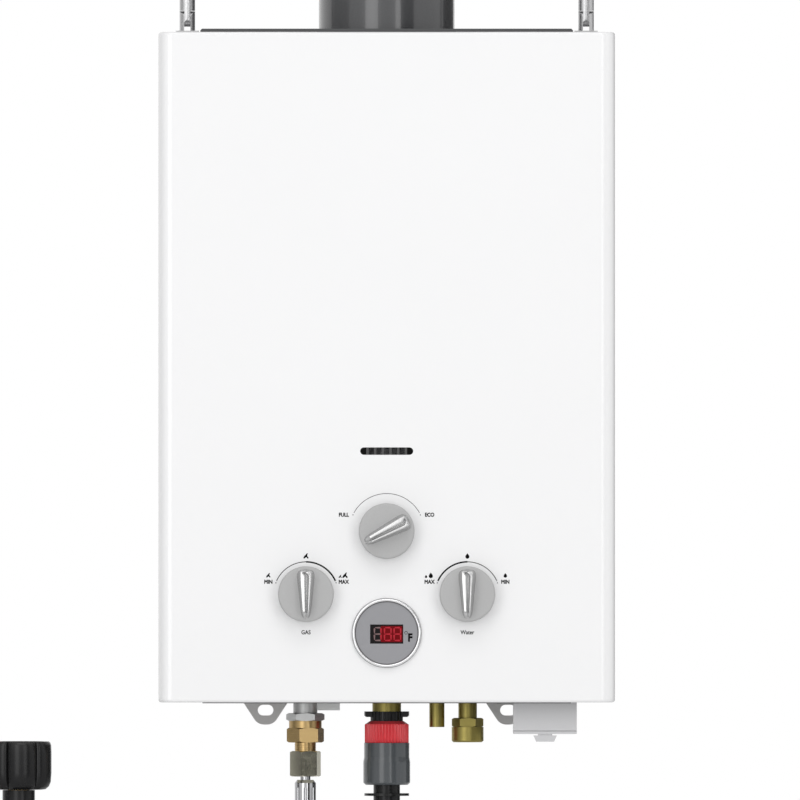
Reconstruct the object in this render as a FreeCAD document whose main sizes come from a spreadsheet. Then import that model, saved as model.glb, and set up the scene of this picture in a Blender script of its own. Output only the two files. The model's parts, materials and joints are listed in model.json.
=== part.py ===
"""Portable propane water heater: a wall-hung white case with flue, carrying handle, three dial
knobs, a digital display and a battery box, and its connections and gas hose below.

The frame has +Z up and the front of the case facing -Y. The wall plane is Y = 0, and the origin
is midway between the slots of the two lower fixing lugs, on that plane. All sizes are in
millimetres and live in the spreadsheet "Sizes".
"""

import math
import os
import re

import FreeCAD
import Part
import Sketcher
from FreeCAD import Placement, Rotation, Vector

# Each row is a driving size: its alias, its value and what it measures.
SIZES = [
    ("case_width", 295, "width of the front cover"),
    ("case_height", 433, "height of the front cover"),
    ("case_depth", 130, "wall plane to the front of the cover"),
    ("case_low", 6.1, "lower edge of the case above the slots of the lugs"),
    ("case_corner", 9, "radius of the upright edges of the cover"),
    ("case_top_round", 2, "radius of the upper and lower edges of the cover"),
    ("sheet", 1, "thickness of the cover's sheet"),
    ("lip", 10, "width of the cover's lips at top and bottom"),
    ("back_sheet", 1.5, "thickness of the back plate"),
    ("back_flange", 12, "depth of the side flanges of the back plate"),
    ("panel_sheet", 1.2, "thickness of the top and bottom panels"),
    ("fit", 0.3, "clearance of a loose fit between sheets"),
    ("running", 0.05, "radial clearance of a turning fit"),
    ("field_inset", 28.5, "distance of the bottom panel's pressed field from the side of the case"),
    ("field_width", "=case_width - 2 * field_inset", "width of that field"),
    ("field_drop", 0.6, "drop of that field below the case"),
    ("lug_spacing", 157.4, "distance between the slots of the lugs"),
    ("lug_root", 32, "width of a lug at the case"),
    ("lug_tip", 10, "width of a lug at its lower end, without the rounding"),
    ("lug_drop", 9.4, "lower end of a lug below its slot"),
    ("slot_length", 10.1, "length of a lug's slot"),
    ("slot_width", 6.9, "width of a lug's slot"),
    ("keyhole_spacing", 157.4, "distance between the keyholes at the top"),
    ("keyhole_below_top", 30, "keyhole slot below the top of the case"),
    ("keyhole_head", 6, "radius of a keyhole's entry"),
    ("keyhole_slot", 2.6, "radius of a keyhole's slot"),
    ("keyhole_drop", 10, "entry below the end of the slot"),
    ("flue_middle", "=case_depth / 2", "distance of the flue's axis from the wall"),
    ("flue_plate_inset", 27.1, "distance of the plate under the flue from the side of the case"),
    ("flue_plate_width", "=case_width - 2 * flue_plate_inset", "width of that plate"),
    ("flue_plate_margin", 12, "distance of that plate from the front and the back of the case"),
    ("flue_plate_depth", "=case_depth - 2 * flue_plate_margin", "depth of that plate"),
    ("flue_plate_rise", 2.2, "top of that plate above the case"),
    ("flue_radius", 44, "outer radius of the flue"),
    ("flue_sheet", 1, "thickness of the flue's sheet"),
    ("flue_rise", 62, "top of the flue above the case"),
    ("cap_radius", 66, "radius of the rain cap"),
    ("cap_gap", 20, "height of the gap under the rain cap"),
    ("cap_slope", 14, "height of the rain cap's cone"),
    ("cap_skirt", 8, "height of the rain cap's skirt"),
    ("rod_radius", 5, "radius of the handle's rod"),
    ("handle_inset", 18.4, "distance of a rod of the handle from the side of the case"),
    ("handle_half", "=case_width / 2 - handle_inset", "distance of that rod from the middle"),
    ("handle_height", 128, "axis of the grip above the hinge"),
    ("handle_bend", 24, "radius of the handle's upper bends"),
    ("hinge_rise", 9, "axis of the handle's hinge above the case"),
    ("hinge_tongue", 4, "thickness of the tongue at the foot of a rod"),
    ("hinge_base", 15, "side of the foot plate of a hinge"),
    ("hinge_base_rise", 1.4, "top of the foot plate above the case"),
    ("hinge_pin", 2, "radius of the hinge pin"),
    ("knob_radius", 18, "radius of a knob"),
    ("knob_depth", 11, "thickness of a knob's disc"),
    ("knob_gap", 0.8, "gap between a knob and the cover"),
    ("grip_length", 34.4, "length of a knob's grip"),
    ("grip_head", 10, "width of the grip at its pointer end"),
    ("grip_tail", 5.6, "width of the grip at its other end"),
    ("grip_height", 9, "height of the grip above the disc"),
    ("shaft_radius", 4, "radius of a knob's shaft"),
    ("shaft_seat", 9, "depth of the shaft inside the knob"),
    ("dial_side", 52.1, "distance of the gas and water dials from the middle"),
    ("dial_level", 70, "height of these dials above the case's lower edge"),
    ("season_level", 110.7, "height of the season dial above that edge"),
    ("season_turn", 63, "turn of the season knob at rest, clockwise from the top"),
    ("window_level", 162.3, "height of the flame window above that edge"),
    ("window_length", 34.2, "length of the flame window"),
    ("window_width", 4.8, "height of the flame window's slot"),
    ("window_rib", 1.6, "width of a rib in the flame window"),
    ("window_pitch", 4.95, "distance between those ribs"),
    ("display_level", 44.9, "height of the display above the case's lower edge"),
    ("bezel_radius", 22.25, "outer radius of the display's bezel"),
    ("bezel_rim", 1.9, "width of the bezel's ring"),
    ("bezel_rise", 3.4, "front of the bezel ahead of the cover"),
    ("display_rise", 2, "front of the display's disc ahead of the cover"),
    ("lens_length", 21.4, "width of the digits' window"),
    ("lens_height", 12.4, "height of the digits' window"),
    ("lens_drop", 0.7, "middle of that window below the middle of the disc"),
]
SIZES += [
    ("row_depth", 60, "distance of the connections' axes from the wall"),
    ("gas_side", 52.7, "distance of the gas inlet from the middle, to the left"),
    ("gas_pipe_radius", 7.8, "radius of the gas inlet's pipe"),
    ("gas_pipe_drop", 7.5, "lower end of that pipe below the case"),
    ("gas_collar_flats", 21.5, "width across flats of the collar on that pipe"),
    ("gas_collar_height", 5, "height of that collar"),
    ("adaptor_neck_radius", 10.6, "radius of the brass adaptor's neck"),
    ("adaptor_neck_height", 4.5, "height of that neck"),
    ("adaptor_flats", 21.3, "width across flats of the adaptor's hexagon"),
    ("adaptor_hex_height", 9.5, "height of that hexagon"),
    ("adaptor_thread_radius", 6.8, "radius of the adaptor's lower thread"),
    ("adaptor_thread_height", 5.5, "length of that thread that shows"),
    ("adaptor_turn", 12, "turn of the adaptor's hexagon about its axis"),
    ("hose_nut_flats", 18, "width across flats of the hose's swivel nut"),
    ("hose_nut_turn", 16, "turn of that nut about its axis"),
    ("hose_nut_height", 16.5, "height of that nut"),
    ("ferrule_neck_radius", 3.3, "radius of the neck between nut and ferrule"),
    ("ferrule_neck_height", 2.2, "height of that neck"),
    ("ferrule_radius", 6.9, "radius of the crimped ferrule"),
    ("ferrule_length", 27, "length of the ferrule"),
    ("hose_radius", 6, "radius of the gas hose"),
    ("outlet_radius", 9.3, "radius of the hot outlet's stub"),
    ("outlet_drop", 6.4, "lower end of that stub below the case"),
    ("tap_ear_reach", 14.6, "reach of the ears of the tap adaptor from its axis"),
    ("tap_ear_height", 3.6, "height of these ears"),
    ("tap_ear_depth", 9, "width of these ears"),
    ("tap_neck_radius", 10.5, "radius of the neck of the tap adaptor"),
    ("tap_neck_height", 2.6, "height of that neck above the collar"),
    ("collar_radius", 14.25, "radius of the connector's red collar over its ribs"),
    ("collar_height", 14.1, "height of the red collar"),
    ("collar_ribs", 36, "number of ribs on the red collar"),
    ("sleeve_radius", 15.2, "largest radius of the connector's grey sleeve"),
    ("sleeve_top_radius", 14.7, "radius of that sleeve at its top"),
    ("sleeve_height", 27.2, "height of that sleeve"),
    ("core_radius", 10.5, "radius of the connector's fixed core"),
    ("tail_radius", 8.6, "radius of the connector's tail"),
    ("tail_flange_radius", 14.5, "radius of the flange on that tail"),
    ("tail_flange_gap", 5.5, "gap between the sleeve and that flange"),
    ("tail_flange_height", 1.6, "thickness of that flange"),
    ("tail_length", 22, "length of the tail below its flange"),
    ("tail_bore", 5.5, "radius of the connector's bore"),
    ("sleeve_slide", 5, "travel of the sleeve"),
    ("drain_side", 32.5, "distance of the drain stub from the middle"),
    ("drain_radius", 4.9, "radius of the drain stub"),
    ("drain_drop", 16.5, "lower end of the drain stub below the case"),
    ("drain_step", 0.6, "step of that stub where it enters the panel"),
    ("inlet_side", 52.4, "distance of the water inlet from the middle"),
    ("inlet_pipe_radius", 6, "radius of the water inlet's pipe"),
    ("inlet_pipe_drop", 10.6, "length of that pipe below the case"),
    ("inlet_flats", 17.7, "width across flats of the water inlet's hexagon"),
    ("inlet_hex_height", 5.9, "height of that hexagon"),
    ("inlet_thread_radius", 10.3, "radius of the water inlet's thread"),
    ("inlet_thread_height", 9.8, "length of that thread"),
    ("inlet_bore", 7, "radius of the water inlet's bore"),
    ("battery_inset", 45.1, "middle of the battery box from the side of the case"),
    ("battery_side", "=case_width / 2 - battery_inset", "distance of the battery box from the middle"),
    ("battery_width", 41, "width of the battery box"),
    ("battery_depth", 76, "depth of the battery box"),
    ("battery_drop", 18.5, "lower edge of the battery box below the case"),
    ("battery_top", 50, "top of the battery box above the case's lower edge"),
    ("battery_setback", 26, "front of the battery box behind the front of the case"),
    ("battery_front", "=case_depth - battery_setback", "front of the battery box from the wall"),
    ("battery_wall", 1.8, "wall of the battery box"),
    ("battery_lid_sheet", 1.8, "thickness of the battery lid"),
    ("battery_tab_head", 15.2, "width of the lid's tab at its top"),
    ("battery_tab_foot", 11.6, "width of the lid's tab at its foot"),
    ("battery_tab_neck", 9.3, "width of the lid's tab at its neck"),
    ("cell_radius", 16.8, "radius of a battery cell"),
    ("cell_length", 60, "length of a battery cell"),
    ("valve_width", 40, "width of the gas and water valves"),
    ("valve_low", 52, "underside of the valves above the case's lower edge"),
    ("valve_height", 36, "height of the valves"),
    ("valve_front", 100, "front of the valves from the wall"),
    ("valve_depth", 55, "depth of the valves"),
    ("valve_bore", 12, "depth of the shaft inside a valve"),
    ("chamber_side", 55.5, "distance of the burner and the heat exchanger from the side of the case"),
    ("chamber_width", "=case_width - 2 * chamber_side", "width of the burner and the heat exchanger"),
    ("chamber_back", 17, "distance of their faces from the wall and from the front"),
    ("chamber_depth", "=case_depth - 2 * chamber_back", "depth of the burner and the heat exchanger"),
    ("chamber_sheet", 1, "thickness of their sheet"),
    ("burner_low", 150, "underside of the burner above the case's lower edge"),
    ("burner_height", 40, "height of the burner"),
    ("hood_height", 44.8, "height of the draft hood"),
    ("fins_height", 46, "height of the finned block"),
    ("shell_height",
     "=case_height - sheet - panel_sheet - hood_height - fins_height - burner_height - burner_low",
     "height of the heat exchanger's shell"),
    ("manifold_height", 16, "height of the gas manifold"),
    ("manifold_width", 150, "width of the gas manifold"),
    ("selector_width", 40, "width of the burner selector under the manifold"),
    ("pipe_radius", 6.3, "radius of the heat exchanger's pipe"),
    ("pass_pitch", 30, "distance between the passes of that pipe"),
    ("tank_nut_radius", 20.5, "radius of the tank nut over its lobes"),
    ("tank_nut_height", 31.2, "height of the tank nut"),
    ("tank_nut_side", 238, "distance of the tank nut from the middle, to the left"),
    ("tank_nut_top", 25.5, "top of the tank nut below the case"),
    ("tank_nut_lobes", 6, "number of lobes of the tank nut"),
    ("tank_bore", 16.2, "radius of the thread in the tank nut"),
    ("nipple_radius", 7, "radius of the tank nipple"),
    ("tank_neck_radius", 10.5, "radius of the neck below the tank nut"),
    ("regulator_radius", 28, "radius of the regulator's bowl"),
    ("regulator_thick", 26, "thickness of the regulator's bowl"),
    ("barb_length", 14, "length of the regulator's hose socket"),
    ("air_slot_width", 5, "width of an air slot in the back plate"),
    ("air_slot_height", 60, "height of these slots"),
    ("air_slot_pitch", 14, "distance between these slots"),
    ("air_slot_level", 62, "lower end of these slots above the case's lower edge"),
    ("flue_root", 6, "lower end of the flue below the top of the case"),
    ("strap_width", 10, "width of a strap of the rain cap"),
    ("knob_round", 1.6, "rounding of a knob's rim"),
    ("grip_round", 1.2, "rounding of the top of a knob's grip"),
    ("index_width", 1.3, "width of the index groove of a knob"),
    ("index_depth", 0.9, "depth of that groove"),
    ("selector_front", 98, "front of the burner selector from the wall"),
    ("lens_depth", 1, "thickness of the window over the digits"),
    ("lid_knuckle", 2.4, "radius of the knuckles of the lid's hinge"),
    ("lid_knuckle_length", 9, "length of an outer knuckle"),
    ("lid_pin", 0.8, "radius of the lid's hinge pin"),
    ("tab_neck", 1, "height of the neck of the lid's tab"),
    ("tab_drop", 5, "height of the lid's tab"),
    ("tab_thick", 3, "thickness of the lid's tab"),
    ("tank_neck_height", 14, "height of the neck below the tank nut"),
    ("barb_radius", 8.5, "radius of the regulator's hose socket"),
    ("vent_cap_radius", 17, "radius of the regulator's vent cap"),
    ("vent_cap_thick", 5, "thickness of that cap"),
    ("tie_width", 8, "width of the coil's tie"),
    ("tie_thick", 1.2, "thickness of that tie"),
    ("crimp_radius", 1.1, "radius of a groove of the ferrule"),
    ("outlet_inside", 8, "upper end of the stubs above the case's lower edge"),
    ("tap_notch", 0.7, "radius of a groove of the tap adaptor"),
    ("tap_notches", 24, "number of these grooves"),
    ("collar_rib", 0.6, "depth of a rib on the red collar"),
    ("tank_lobe", 2.6, "depth of a lobe of the tank nut"),
    ("burner_bar", 6, "thickness of a burner bar"),
    ("burner_count", 9, "number of burner bars"),
    ("burner_pitch", "=(chamber_width - 2 * chamber_sheet - burner_bar) / burner_count",
     "distance between the burner bars"),
    ("fin_count", 12, "number of gaps between the fins"),
    ("fin_pitch", "=(chamber_width - 4 * chamber_sheet) / fin_count", "distance between the fins"),
    ("rail_width", 14, "width of a support rail"),
    ("rail_inset", 22, "distance of a support rail from the side of the burner"),
    ("rail_side", "=chamber_width / 2 - rail_inset", "distance of that rail from the middle"),
    ("pipe_reach", 28, "distance of the pipe beside the heat exchanger"),
    ("pipe_low", 24, "height of the pipe's lower run above the case's lower edge"),
    ("coil_radius", 66, "middle radius of the hose's coil"),
    ("coil_pitch", 12.9, "step of the hose's coil from turn to turn"),
]

# Placings of a piece that is drawn with its axis along its own +Z.
UPRIGHT = Rotation()
FACE_FORWARD = Rotation(Vector(1, 0, 0), 90)
ACROSS = Rotation(Vector(0, 1, 0), 90)

doc = FreeCAD.newDocument("WaterHeater")
sizes = doc.addObject("Spreadsheet::Sheet", "Sizes")
for row, (alias, value, note) in enumerate(SIZES, start=1):
    sizes.set(f"A{row}", note)
    sizes.setAlias(f"B{row}", alias)
for row, (alias, value, note) in enumerate(SIZES, start=1):
    sizes.set(f"B{row}", str(value))
doc.recompute()

ALIASES = {alias for alias, _, _ in SIZES}
pieces = {}


def bound(text):
    """Return an expression with each alias of the sheet written as Sizes.alias."""
    return re.sub(r"[a-z][a-z_]*", lambda word: ("Sizes." if word[0] in ALIASES else "") + word[0],
                  str(text))


def number(text):
    """Return the value of an expression of the sheet's aliases."""
    return float(FreeCAD.Units.Quantity(sizes.evalExpression(bound(text))).Value)


def bind(feature, **sizes_of):
    """Bind properties of a feature to expressions of the sheet."""
    for name, text in sizes_of.items():
        feature.setExpression(name, bound(text))


def place(feature, corner, turn=UPRIGHT):
    """Turn a feature and bind its position."""
    feature.Placement = Placement(Vector(), turn)
    for axis, text in zip("xyz", corner):
        feature.setExpression(f"Placement.Base.{axis}", bound(text))
    return feature


def block(name, size, corner):
    """A box of three sizes with its lowest corner at the given place."""
    box = doc.addObject("Part::Box", name)
    bind(box, Length=size[0], Width=size[1], Height=size[2])
    return place(box, corner)


def rod(name, radius, length, foot, turn=UPRIGHT):
    """A cylinder from its foot along its own axis."""
    cylinder = doc.addObject("Part::Cylinder", name)
    bind(cylinder, Radius=radius, Height=length)
    return place(cylinder, foot, turn)


def hexagon(name, flats, length, foot, turn=UPRIGHT):
    """A six-sided prism of a width across flats."""
    prism = doc.addObject("Part::Prism", name)
    prism.Polygon = 6
    bind(prism, Circumradius=f"({flats}) / 2 / cos(30)", Height=length)
    return place(prism, foot, turn)


def fuse(name, parts):
    """One solid of several that touch or overlap."""
    joined = doc.addObject("Part::MultiFuse", name)
    joined.Shapes = parts
    joined.Refine = True
    return joined


def cut(name, base, tools):
    """A solid without its tools."""
    result = doc.addObject("Part::Cut", name)
    result.Base = base
    result.Tool = tools[0] if len(tools) == 1 else fuse(name + "_tools", tools)
    result.Refine = True
    return result


def common(name, parts):
    """What several solids share."""
    result = doc.addObject("Part::MultiCommon", name)
    result.Shapes = parts
    return result


def piece(name, feature):
    """Label a finished feature as one sub-part, whose file has that name."""
    feature.Label = name
    pieces[name] = feature
    return feature


def new_body(name):
    """A PartDesign body."""
    return doc.addObject("PartDesign::Body", "Body_" + name)


def plane(body, role):
    """The origin plane of a body with that role."""
    return next(o for o in body.Origin.OriginFeatures if o.Role == role)


def sketch_on(body, role="XY_Plane"):
    """An empty sketch on one of the body's origin planes."""
    sketch = body.newObject("Sketcher::SketchObject", "Sketch")
    sketch.AttachmentSupport = (plane(body, role), [""])
    sketch.MapMode = "FlatFace"
    return sketch


def outline(sketch, corners):
    """Draw a closed outline whose corners are bound to pairs of expressions."""
    first = sketch.GeometryCount
    points = [Vector(number(across), number(up), 0) for across, up in corners]
    count = len(points)
    for index, point in enumerate(points):
        sketch.addGeometry(Part.LineSegment(point, points[(index + 1) % count]), False)
    for index, (across, up) in enumerate(corners):
        line = first + index
        sketch.addConstraint(Sketcher.Constraint("Coincident", line, 2, first + (index + 1) % count, 1))
        for kind, text, now in (("DistanceX", across, points[index].x), ("DistanceY", up, points[index].y)):
            number_of = sketch.addConstraint(Sketcher.Constraint(kind, -1, 1, line, 1, now))
            sketch.setExpression(f"Constraints[{number_of}]", bound(text))
    return sketch


def ring_line(sketch, middle, radius):
    """Draw a circle whose middle and radius are bound to expressions."""
    centre = Vector(number(middle[0]), number(middle[1]), 0)
    circle = sketch.addGeometry(Part.Circle(centre, Vector(0, 0, 1), number(radius)), False)
    for kind, text, now in (("DistanceX", middle[0], centre.x), ("DistanceY", middle[1], centre.y)):
        number_of = sketch.addConstraint(Sketcher.Constraint(kind, -1, 1, circle, 3, now))
        sketch.setExpression(f"Constraints[{number_of}]", bound(text))
    number_of = sketch.addConstraint(Sketcher.Constraint("Radius", circle, number(radius)))
    sketch.setExpression(f"Constraints[{number_of}]", bound(radius))
    return sketch


def pad(body, sketch, length, **more):
    """Pad a sketch by a bound length."""
    feature = body.newObject("PartDesign::Pad", "Pad")
    feature.Profile = sketch
    bind(feature, Length=length)
    for name, value in more.items():
        setattr(feature, name, value)
    sketch.Visibility = False
    return feature


def pocket(body, sketch, length, **more):
    """Pocket a sketch by a bound length, and test that it removed something."""
    doc.recompute()
    before = body.Shape.Volume
    feature = body.newObject("PartDesign::Pocket", "Pocket")
    feature.Profile = sketch
    bind(feature, Length=length)
    for name, value in more.items():
        setattr(feature, name, value)
    doc.recompute()
    if feature.Shape.Volume > before - 0.01:
        raise RuntimeError(f"{body.Name}: {feature.Name} cuts nothing")
    return feature


def turned(name, profile, foot, turn=UPRIGHT):
    """A turned solid from corners of radius and height, about its own +Z."""
    body = new_body(name)
    sketch = outline(sketch_on(body, "XZ_Plane"), profile)
    feature = body.newObject("PartDesign::Revolution", "Revolution")
    feature.Profile = sketch
    feature.ReferenceAxis = (sketch, ["V_Axis"])
    feature.Angle = 360
    place(body, foot, turn)
    return body


def round_edges(body, radius, chosen, kind="PartDesign::Fillet"):
    """Round, or chamfer, the edges of a body's tip that a test chooses."""
    doc.recompute()
    base = body.Tip
    names = [f"Edge{index}" for index, edge in enumerate(base.Shape.Edges, start=1) if chosen(edge)]
    if not names:
        raise RuntimeError(f"{body.Name}: no edge to round")
    feature = body.newObject(kind, kind.split("::")[1])
    feature.Base = (base, names)
    bind(feature, **{"Radius" if kind.endswith("Fillet") else "Size": radius})
    return feature


def is_upright(edge):
    """Whether an edge is a straight line along its body's own Z."""
    return edge.Curve.TypeId == "Part::GeomLine" and abs(edge.tangentAt(edge.FirstParameter).z) > 0.999


def slot(name, length, width, depth, middle, front):
    """A cutting tool for a long hole along X through a sheet, from the plane Y = front backwards."""
    across, up = middle
    half = f"(({length}) - ({width})) / 2"
    bar = block(name + "_bar", (f"({length}) - ({width})", depth, width),
                (f"{across} - {half}", front, f"{up} - ({width}) / 2"))
    ends = [rod(f"{name}_end_{side}", f"({width}) / 2", depth,
                (f"{across} {sign} {half}", f"({front}) + ({depth})", up), FACE_FORWARD)
            for side, sign in (("left", "-"), ("right", "+"))]
    return fuse(name, [bar] + ends)


TOP = "(case_low + case_height)"

# The back plate: one sheet with two rounded lugs below, keyholes above and air slots.
body = new_body("back_plate")
half = "(case_width / 2 - sheet - fit)"
low = "(case_low + sheet + fit)"


def lug_corners(middle):
    """Corners of one lug, from its left root to its right root."""
    return [
        (f"{middle} - lug_root / 2", low),
        (f"{middle} - lug_root / 2", "case_low - fit"),
        (f"{middle} - 0.45 * lug_root", "0.8 * case_low"),
        (f"{middle} - lug_tip / 2", "-lug_drop"),
        (f"{middle} + lug_tip / 2", "-lug_drop"),
        (f"{middle} + 0.45 * lug_root", "0.8 * case_low"),
        (f"{middle} + lug_root / 2", "case_low - fit"),
        (f"{middle} + lug_root / 2", low),
    ]


corners = [("-" + half, low)] + lug_corners("-lug_spacing / 2") + lug_corners("lug_spacing / 2")
corners += [(half, low), (half, f"{TOP} - sheet - fit"), ("-" + half, f"{TOP} - sheet - fit")]
pad(body, outline(sketch_on(body, "XZ_Plane"), corners), "back_sheet")
round_edges(body, "0.75 * lug_tip", lambda edge: edge.Length < number("back_sheet") + 0.01
            and edge.CenterOfMass.z < number("-lug_drop") + 0.01)
flanges = [block(f"back_flange_{side}", ("back_sheet", "back_flange", "case_height - 2 * sheet - 2 * fit"),
                 (corner, "-back_flange", low))
           for side, corner in (("left", "-" + half), ("right", f"{half} - back_sheet"))]
tools = []
for side, sign in (("left", "-"), ("right", "")):
    middle = f"{sign}lug_spacing / 2"
    tools.append(slot(f"lug_slot_{side}", "slot_length", "slot_width", "4 * back_sheet",
                      (middle, "0"), "-2 * back_sheet"))
    hole = f"({TOP} - keyhole_below_top)"
    across = f"{sign}keyhole_spacing / 2"
    tools.append(rod(f"keyhole_head_{side}", "keyhole_head", "4 * back_sheet",
                     (across, "2 * back_sheet", f"{hole} - keyhole_drop"), FACE_FORWARD))
    tools.append(rod(f"keyhole_end_{side}", "keyhole_slot", "4 * back_sheet",
                     (across, "2 * back_sheet", hole), FACE_FORWARD))
    tools.append(block(f"keyhole_way_{side}", ("2 * keyhole_slot", "4 * back_sheet", "keyhole_drop"),
                       (f"{across} - keyhole_slot", "-2 * back_sheet", f"{hole} - keyhole_drop")))
for column in range(-5, 6):
    tools.append(block(f"air_slot_{column + 5}", ("air_slot_width", "4 * back_sheet", "air_slot_height"),
                       (f"{column} * air_slot_pitch - air_slot_width / 2", "-2 * back_sheet",
                        "case_low + air_slot_level")))
piece("back_plate", cut("back_plate_cut", fuse("back_plate_sheet", [body] + flanges), tools))


def rounded_case(name, inset, back):
    """A block of the case's shape, smaller by an inset, that ends at a plane towards the wall."""
    body = new_body(name)
    side = f"(case_width / 2 - {inset})"
    front = f"({inset} - case_depth)"
    height = f"(case_height - 2 * {inset})"
    pad(body, outline(sketch_on(body), [
        ("-" + side, front), (side, front), (side, back), ("-" + side, back)]), height)
    round_edges(body, f"case_corner - {inset}", lambda edge: is_upright(edge)
                and edge.CenterOfMass.y < number(front) + 0.01)
    return place(body, ("0", "0", f"case_low + {inset}"))


# The front cover: front, sides and narrow lips of one folded sheet, open at the back.
outside = rounded_case("cover_outside", "0", "0")
round_edges(outside, "case_top_round", lambda edge: edge.CenterOfMass.y < -0.01 and not is_upright(edge)
            and min(edge.CenterOfMass.z, number("case_height") - edge.CenterOfMass.z) < 0.01)
body = cut("cover_shell", outside, [rounded_case("cover_inside", "sheet", "2 * sheet")])
mouth = block("cover_mouth", ("case_width - 2 * lip", "case_depth - lip + 1", "case_height + 2"),
              ("lip - case_width / 2", "lip - case_depth", "case_low - 1"))
front = "(2 * sheet - case_depth)"
tools = [mouth]
for name, across, level in (("gas", "-dial_side", "dial_level"), ("water", "dial_side", "dial_level"),
                            ("season", "0", "season_level")):
    tools.append(rod(f"cover_hole_{name}", "shaft_radius + 2", "4 * sheet",
                     (across, front, f"case_low + {level}"), FACE_FORWARD))
tools.append(rod("cover_hole_display", "bezel_radius - bezel_rim - fit", "4 * sheet",
                 ("0", front, "case_low + display_level"), FACE_FORWARD))
tools.append(slot("cover_window", "window_length", "window_width", "4 * sheet",
                  ("0", "case_low + window_level"), "-case_depth - sheet"))
piece("front_cover", cut("front_cover_cut", body, tools))

# The top panel lies under the lips of the cover, the dark flue plate on it.
inside = "(case_width - 2 * sheet - 2 * fit)"


def inner_panel(name, level):
    """A sheet that fills the case from the back plate to the cover, with the cover's rounded corners."""
    body = new_body(name)
    side, front = f"({inside} / 2 - back_sheet)", "(sheet + fit - case_depth)"
    pad(body, outline(sketch_on(body), [("-" + side, front), (side, front), (side, "-back_sheet"),
                                        ("-" + side, "-back_sheet")]), "panel_sheet")
    round_edges(body, "case_corner - sheet", lambda edge: is_upright(edge)
                and edge.CenterOfMass.y < number(front) + 0.01)
    return place(body, ("0", "0", level))


piece("top_panel", cut("top_panel_cut", inner_panel("top_panel", f"{TOP} - sheet - panel_sheet"), [
    rod("top_panel_hole", "flue_radius", "10 * sheet", ("0", "-flue_middle", f"{TOP} - 5 * sheet"))]))

body = new_body("flue_plate")
half = "(flue_plate_width / 2)"
pad(body, outline(sketch_on(body, "XZ_Plane"), [
    ("-" + half, "-sheet"), (half, "-sheet"), (half, "flue_plate_rise / 2"),
    (half + " - flue_plate_rise / 2", "flue_plate_rise"),
    ("-" + half + " + flue_plate_rise / 2", "flue_plate_rise"), ("-" + half, "flue_plate_rise / 2")]),
    "flue_plate_depth")
place(body, ("0", "flue_plate_depth / 2 - flue_middle", TOP))
piece("flue_plate", cut("flue_plate_cut", body, [
    rod("flue_plate_hole", "flue_radius", "10 * sheet", ("0", "-flue_middle", f"{TOP} - 5 * sheet"))]))

# The flue, and the rain cap on three straps of one ring that sits in the flue.
piece("flue", turned("flue", [
    ("flue_radius - flue_sheet", "-flue_root"), ("flue_radius", "-flue_root"),
    ("flue_radius", "flue_rise"), ("flue_radius - flue_sheet", "flue_rise")],
    ("0", "-flue_middle", TOP)))
bore = "(flue_radius - flue_sheet)"
under = "(flue_rise + cap_gap)"
piece("rain_cap", turned("rain_cap", [
    ("0", f"{under} + cap_slope"), ("cap_radius", under),
    ("cap_radius", f"{under} - cap_skirt"), ("cap_radius + flue_sheet", f"{under} - cap_skirt"),
    ("cap_radius + flue_sheet", f"{under} + flue_sheet"),
    ("0", f"{under} + cap_slope + flue_sheet")], ("0", "-flue_middle", TOP)))
hug = f"({bore} - running)"
strap_low = f"{TOP} + flue_rise - 2 * strap_width"
straps = [cut("strap_ring", rod("strap_ring_out", hug, "strap_width", ("0", "-flue_middle", strap_low)),
              [rod("strap_ring_in", bore + " - flue_sheet", "strap_width + 2",
                   ("0", "-flue_middle", strap_low + " - 1"))])]
for index, angle in enumerate((90, 210, 330)):
    turn = Rotation(Vector(0, 0, 1), angle)
    inner = f"({bore} - flue_sheet)"
    strap = block(f"strap_{index}", ("flue_sheet", "strap_width",
                                     f"2 * strap_width + cap_gap + cap_slope * (1 - {bore} / cap_radius)"),
                  ("0", "0", strap_low))
    place(strap, (f"{inner} * cos({angle}) + strap_width / 2 * sin({angle})",
                  f"{inner} * sin({angle}) - strap_width / 2 * cos({angle}) - flue_middle", strap_low), turn)
    straps.append(strap)
bore_space = rod("strap_bore", hug, "4 * flue_rise", ("0", "-flue_middle", f"{TOP} - sheet"))
piece("cap_straps", common("cap_straps_common", [fuse("cap_straps_joined", straps), bore_space]))

# The bottom panel lies on the lower lips; its pressed field carries the connections.
panel = inner_panel("bottom_panel", "case_low + sheet")
field = block("bottom_panel_field",
              ("field_width", "case_depth - 2 * lip - field_drop", "sheet + field_drop + 0.1"),
              ("-field_width / 2", "lip + field_drop - case_depth", "case_low - field_drop"))
tools = []
for name, across, radius in (
        ("gas", "-gas_side", "gas_pipe_radius"), ("outlet", "0", "outlet_radius"),
        ("drain", "drain_side", "drain_radius + drain_step"), ("inlet", "inlet_side", "inlet_pipe_radius")):
    tools.append(rod(f"panel_hole_{name}", radius, "10 * sheet",
                     (across, "-row_depth", "case_low - 5 * sheet")))
tools.append(block("panel_hole_battery", ("battery_width", "battery_depth", "20 * sheet"),
                   ("battery_side - battery_width / 2", "-battery_front", "case_low - 10 * sheet")))
piece("bottom_panel", cut("bottom_panel_cut", fuse("bottom_panel_joined", [panel, field]), tools))

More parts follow.
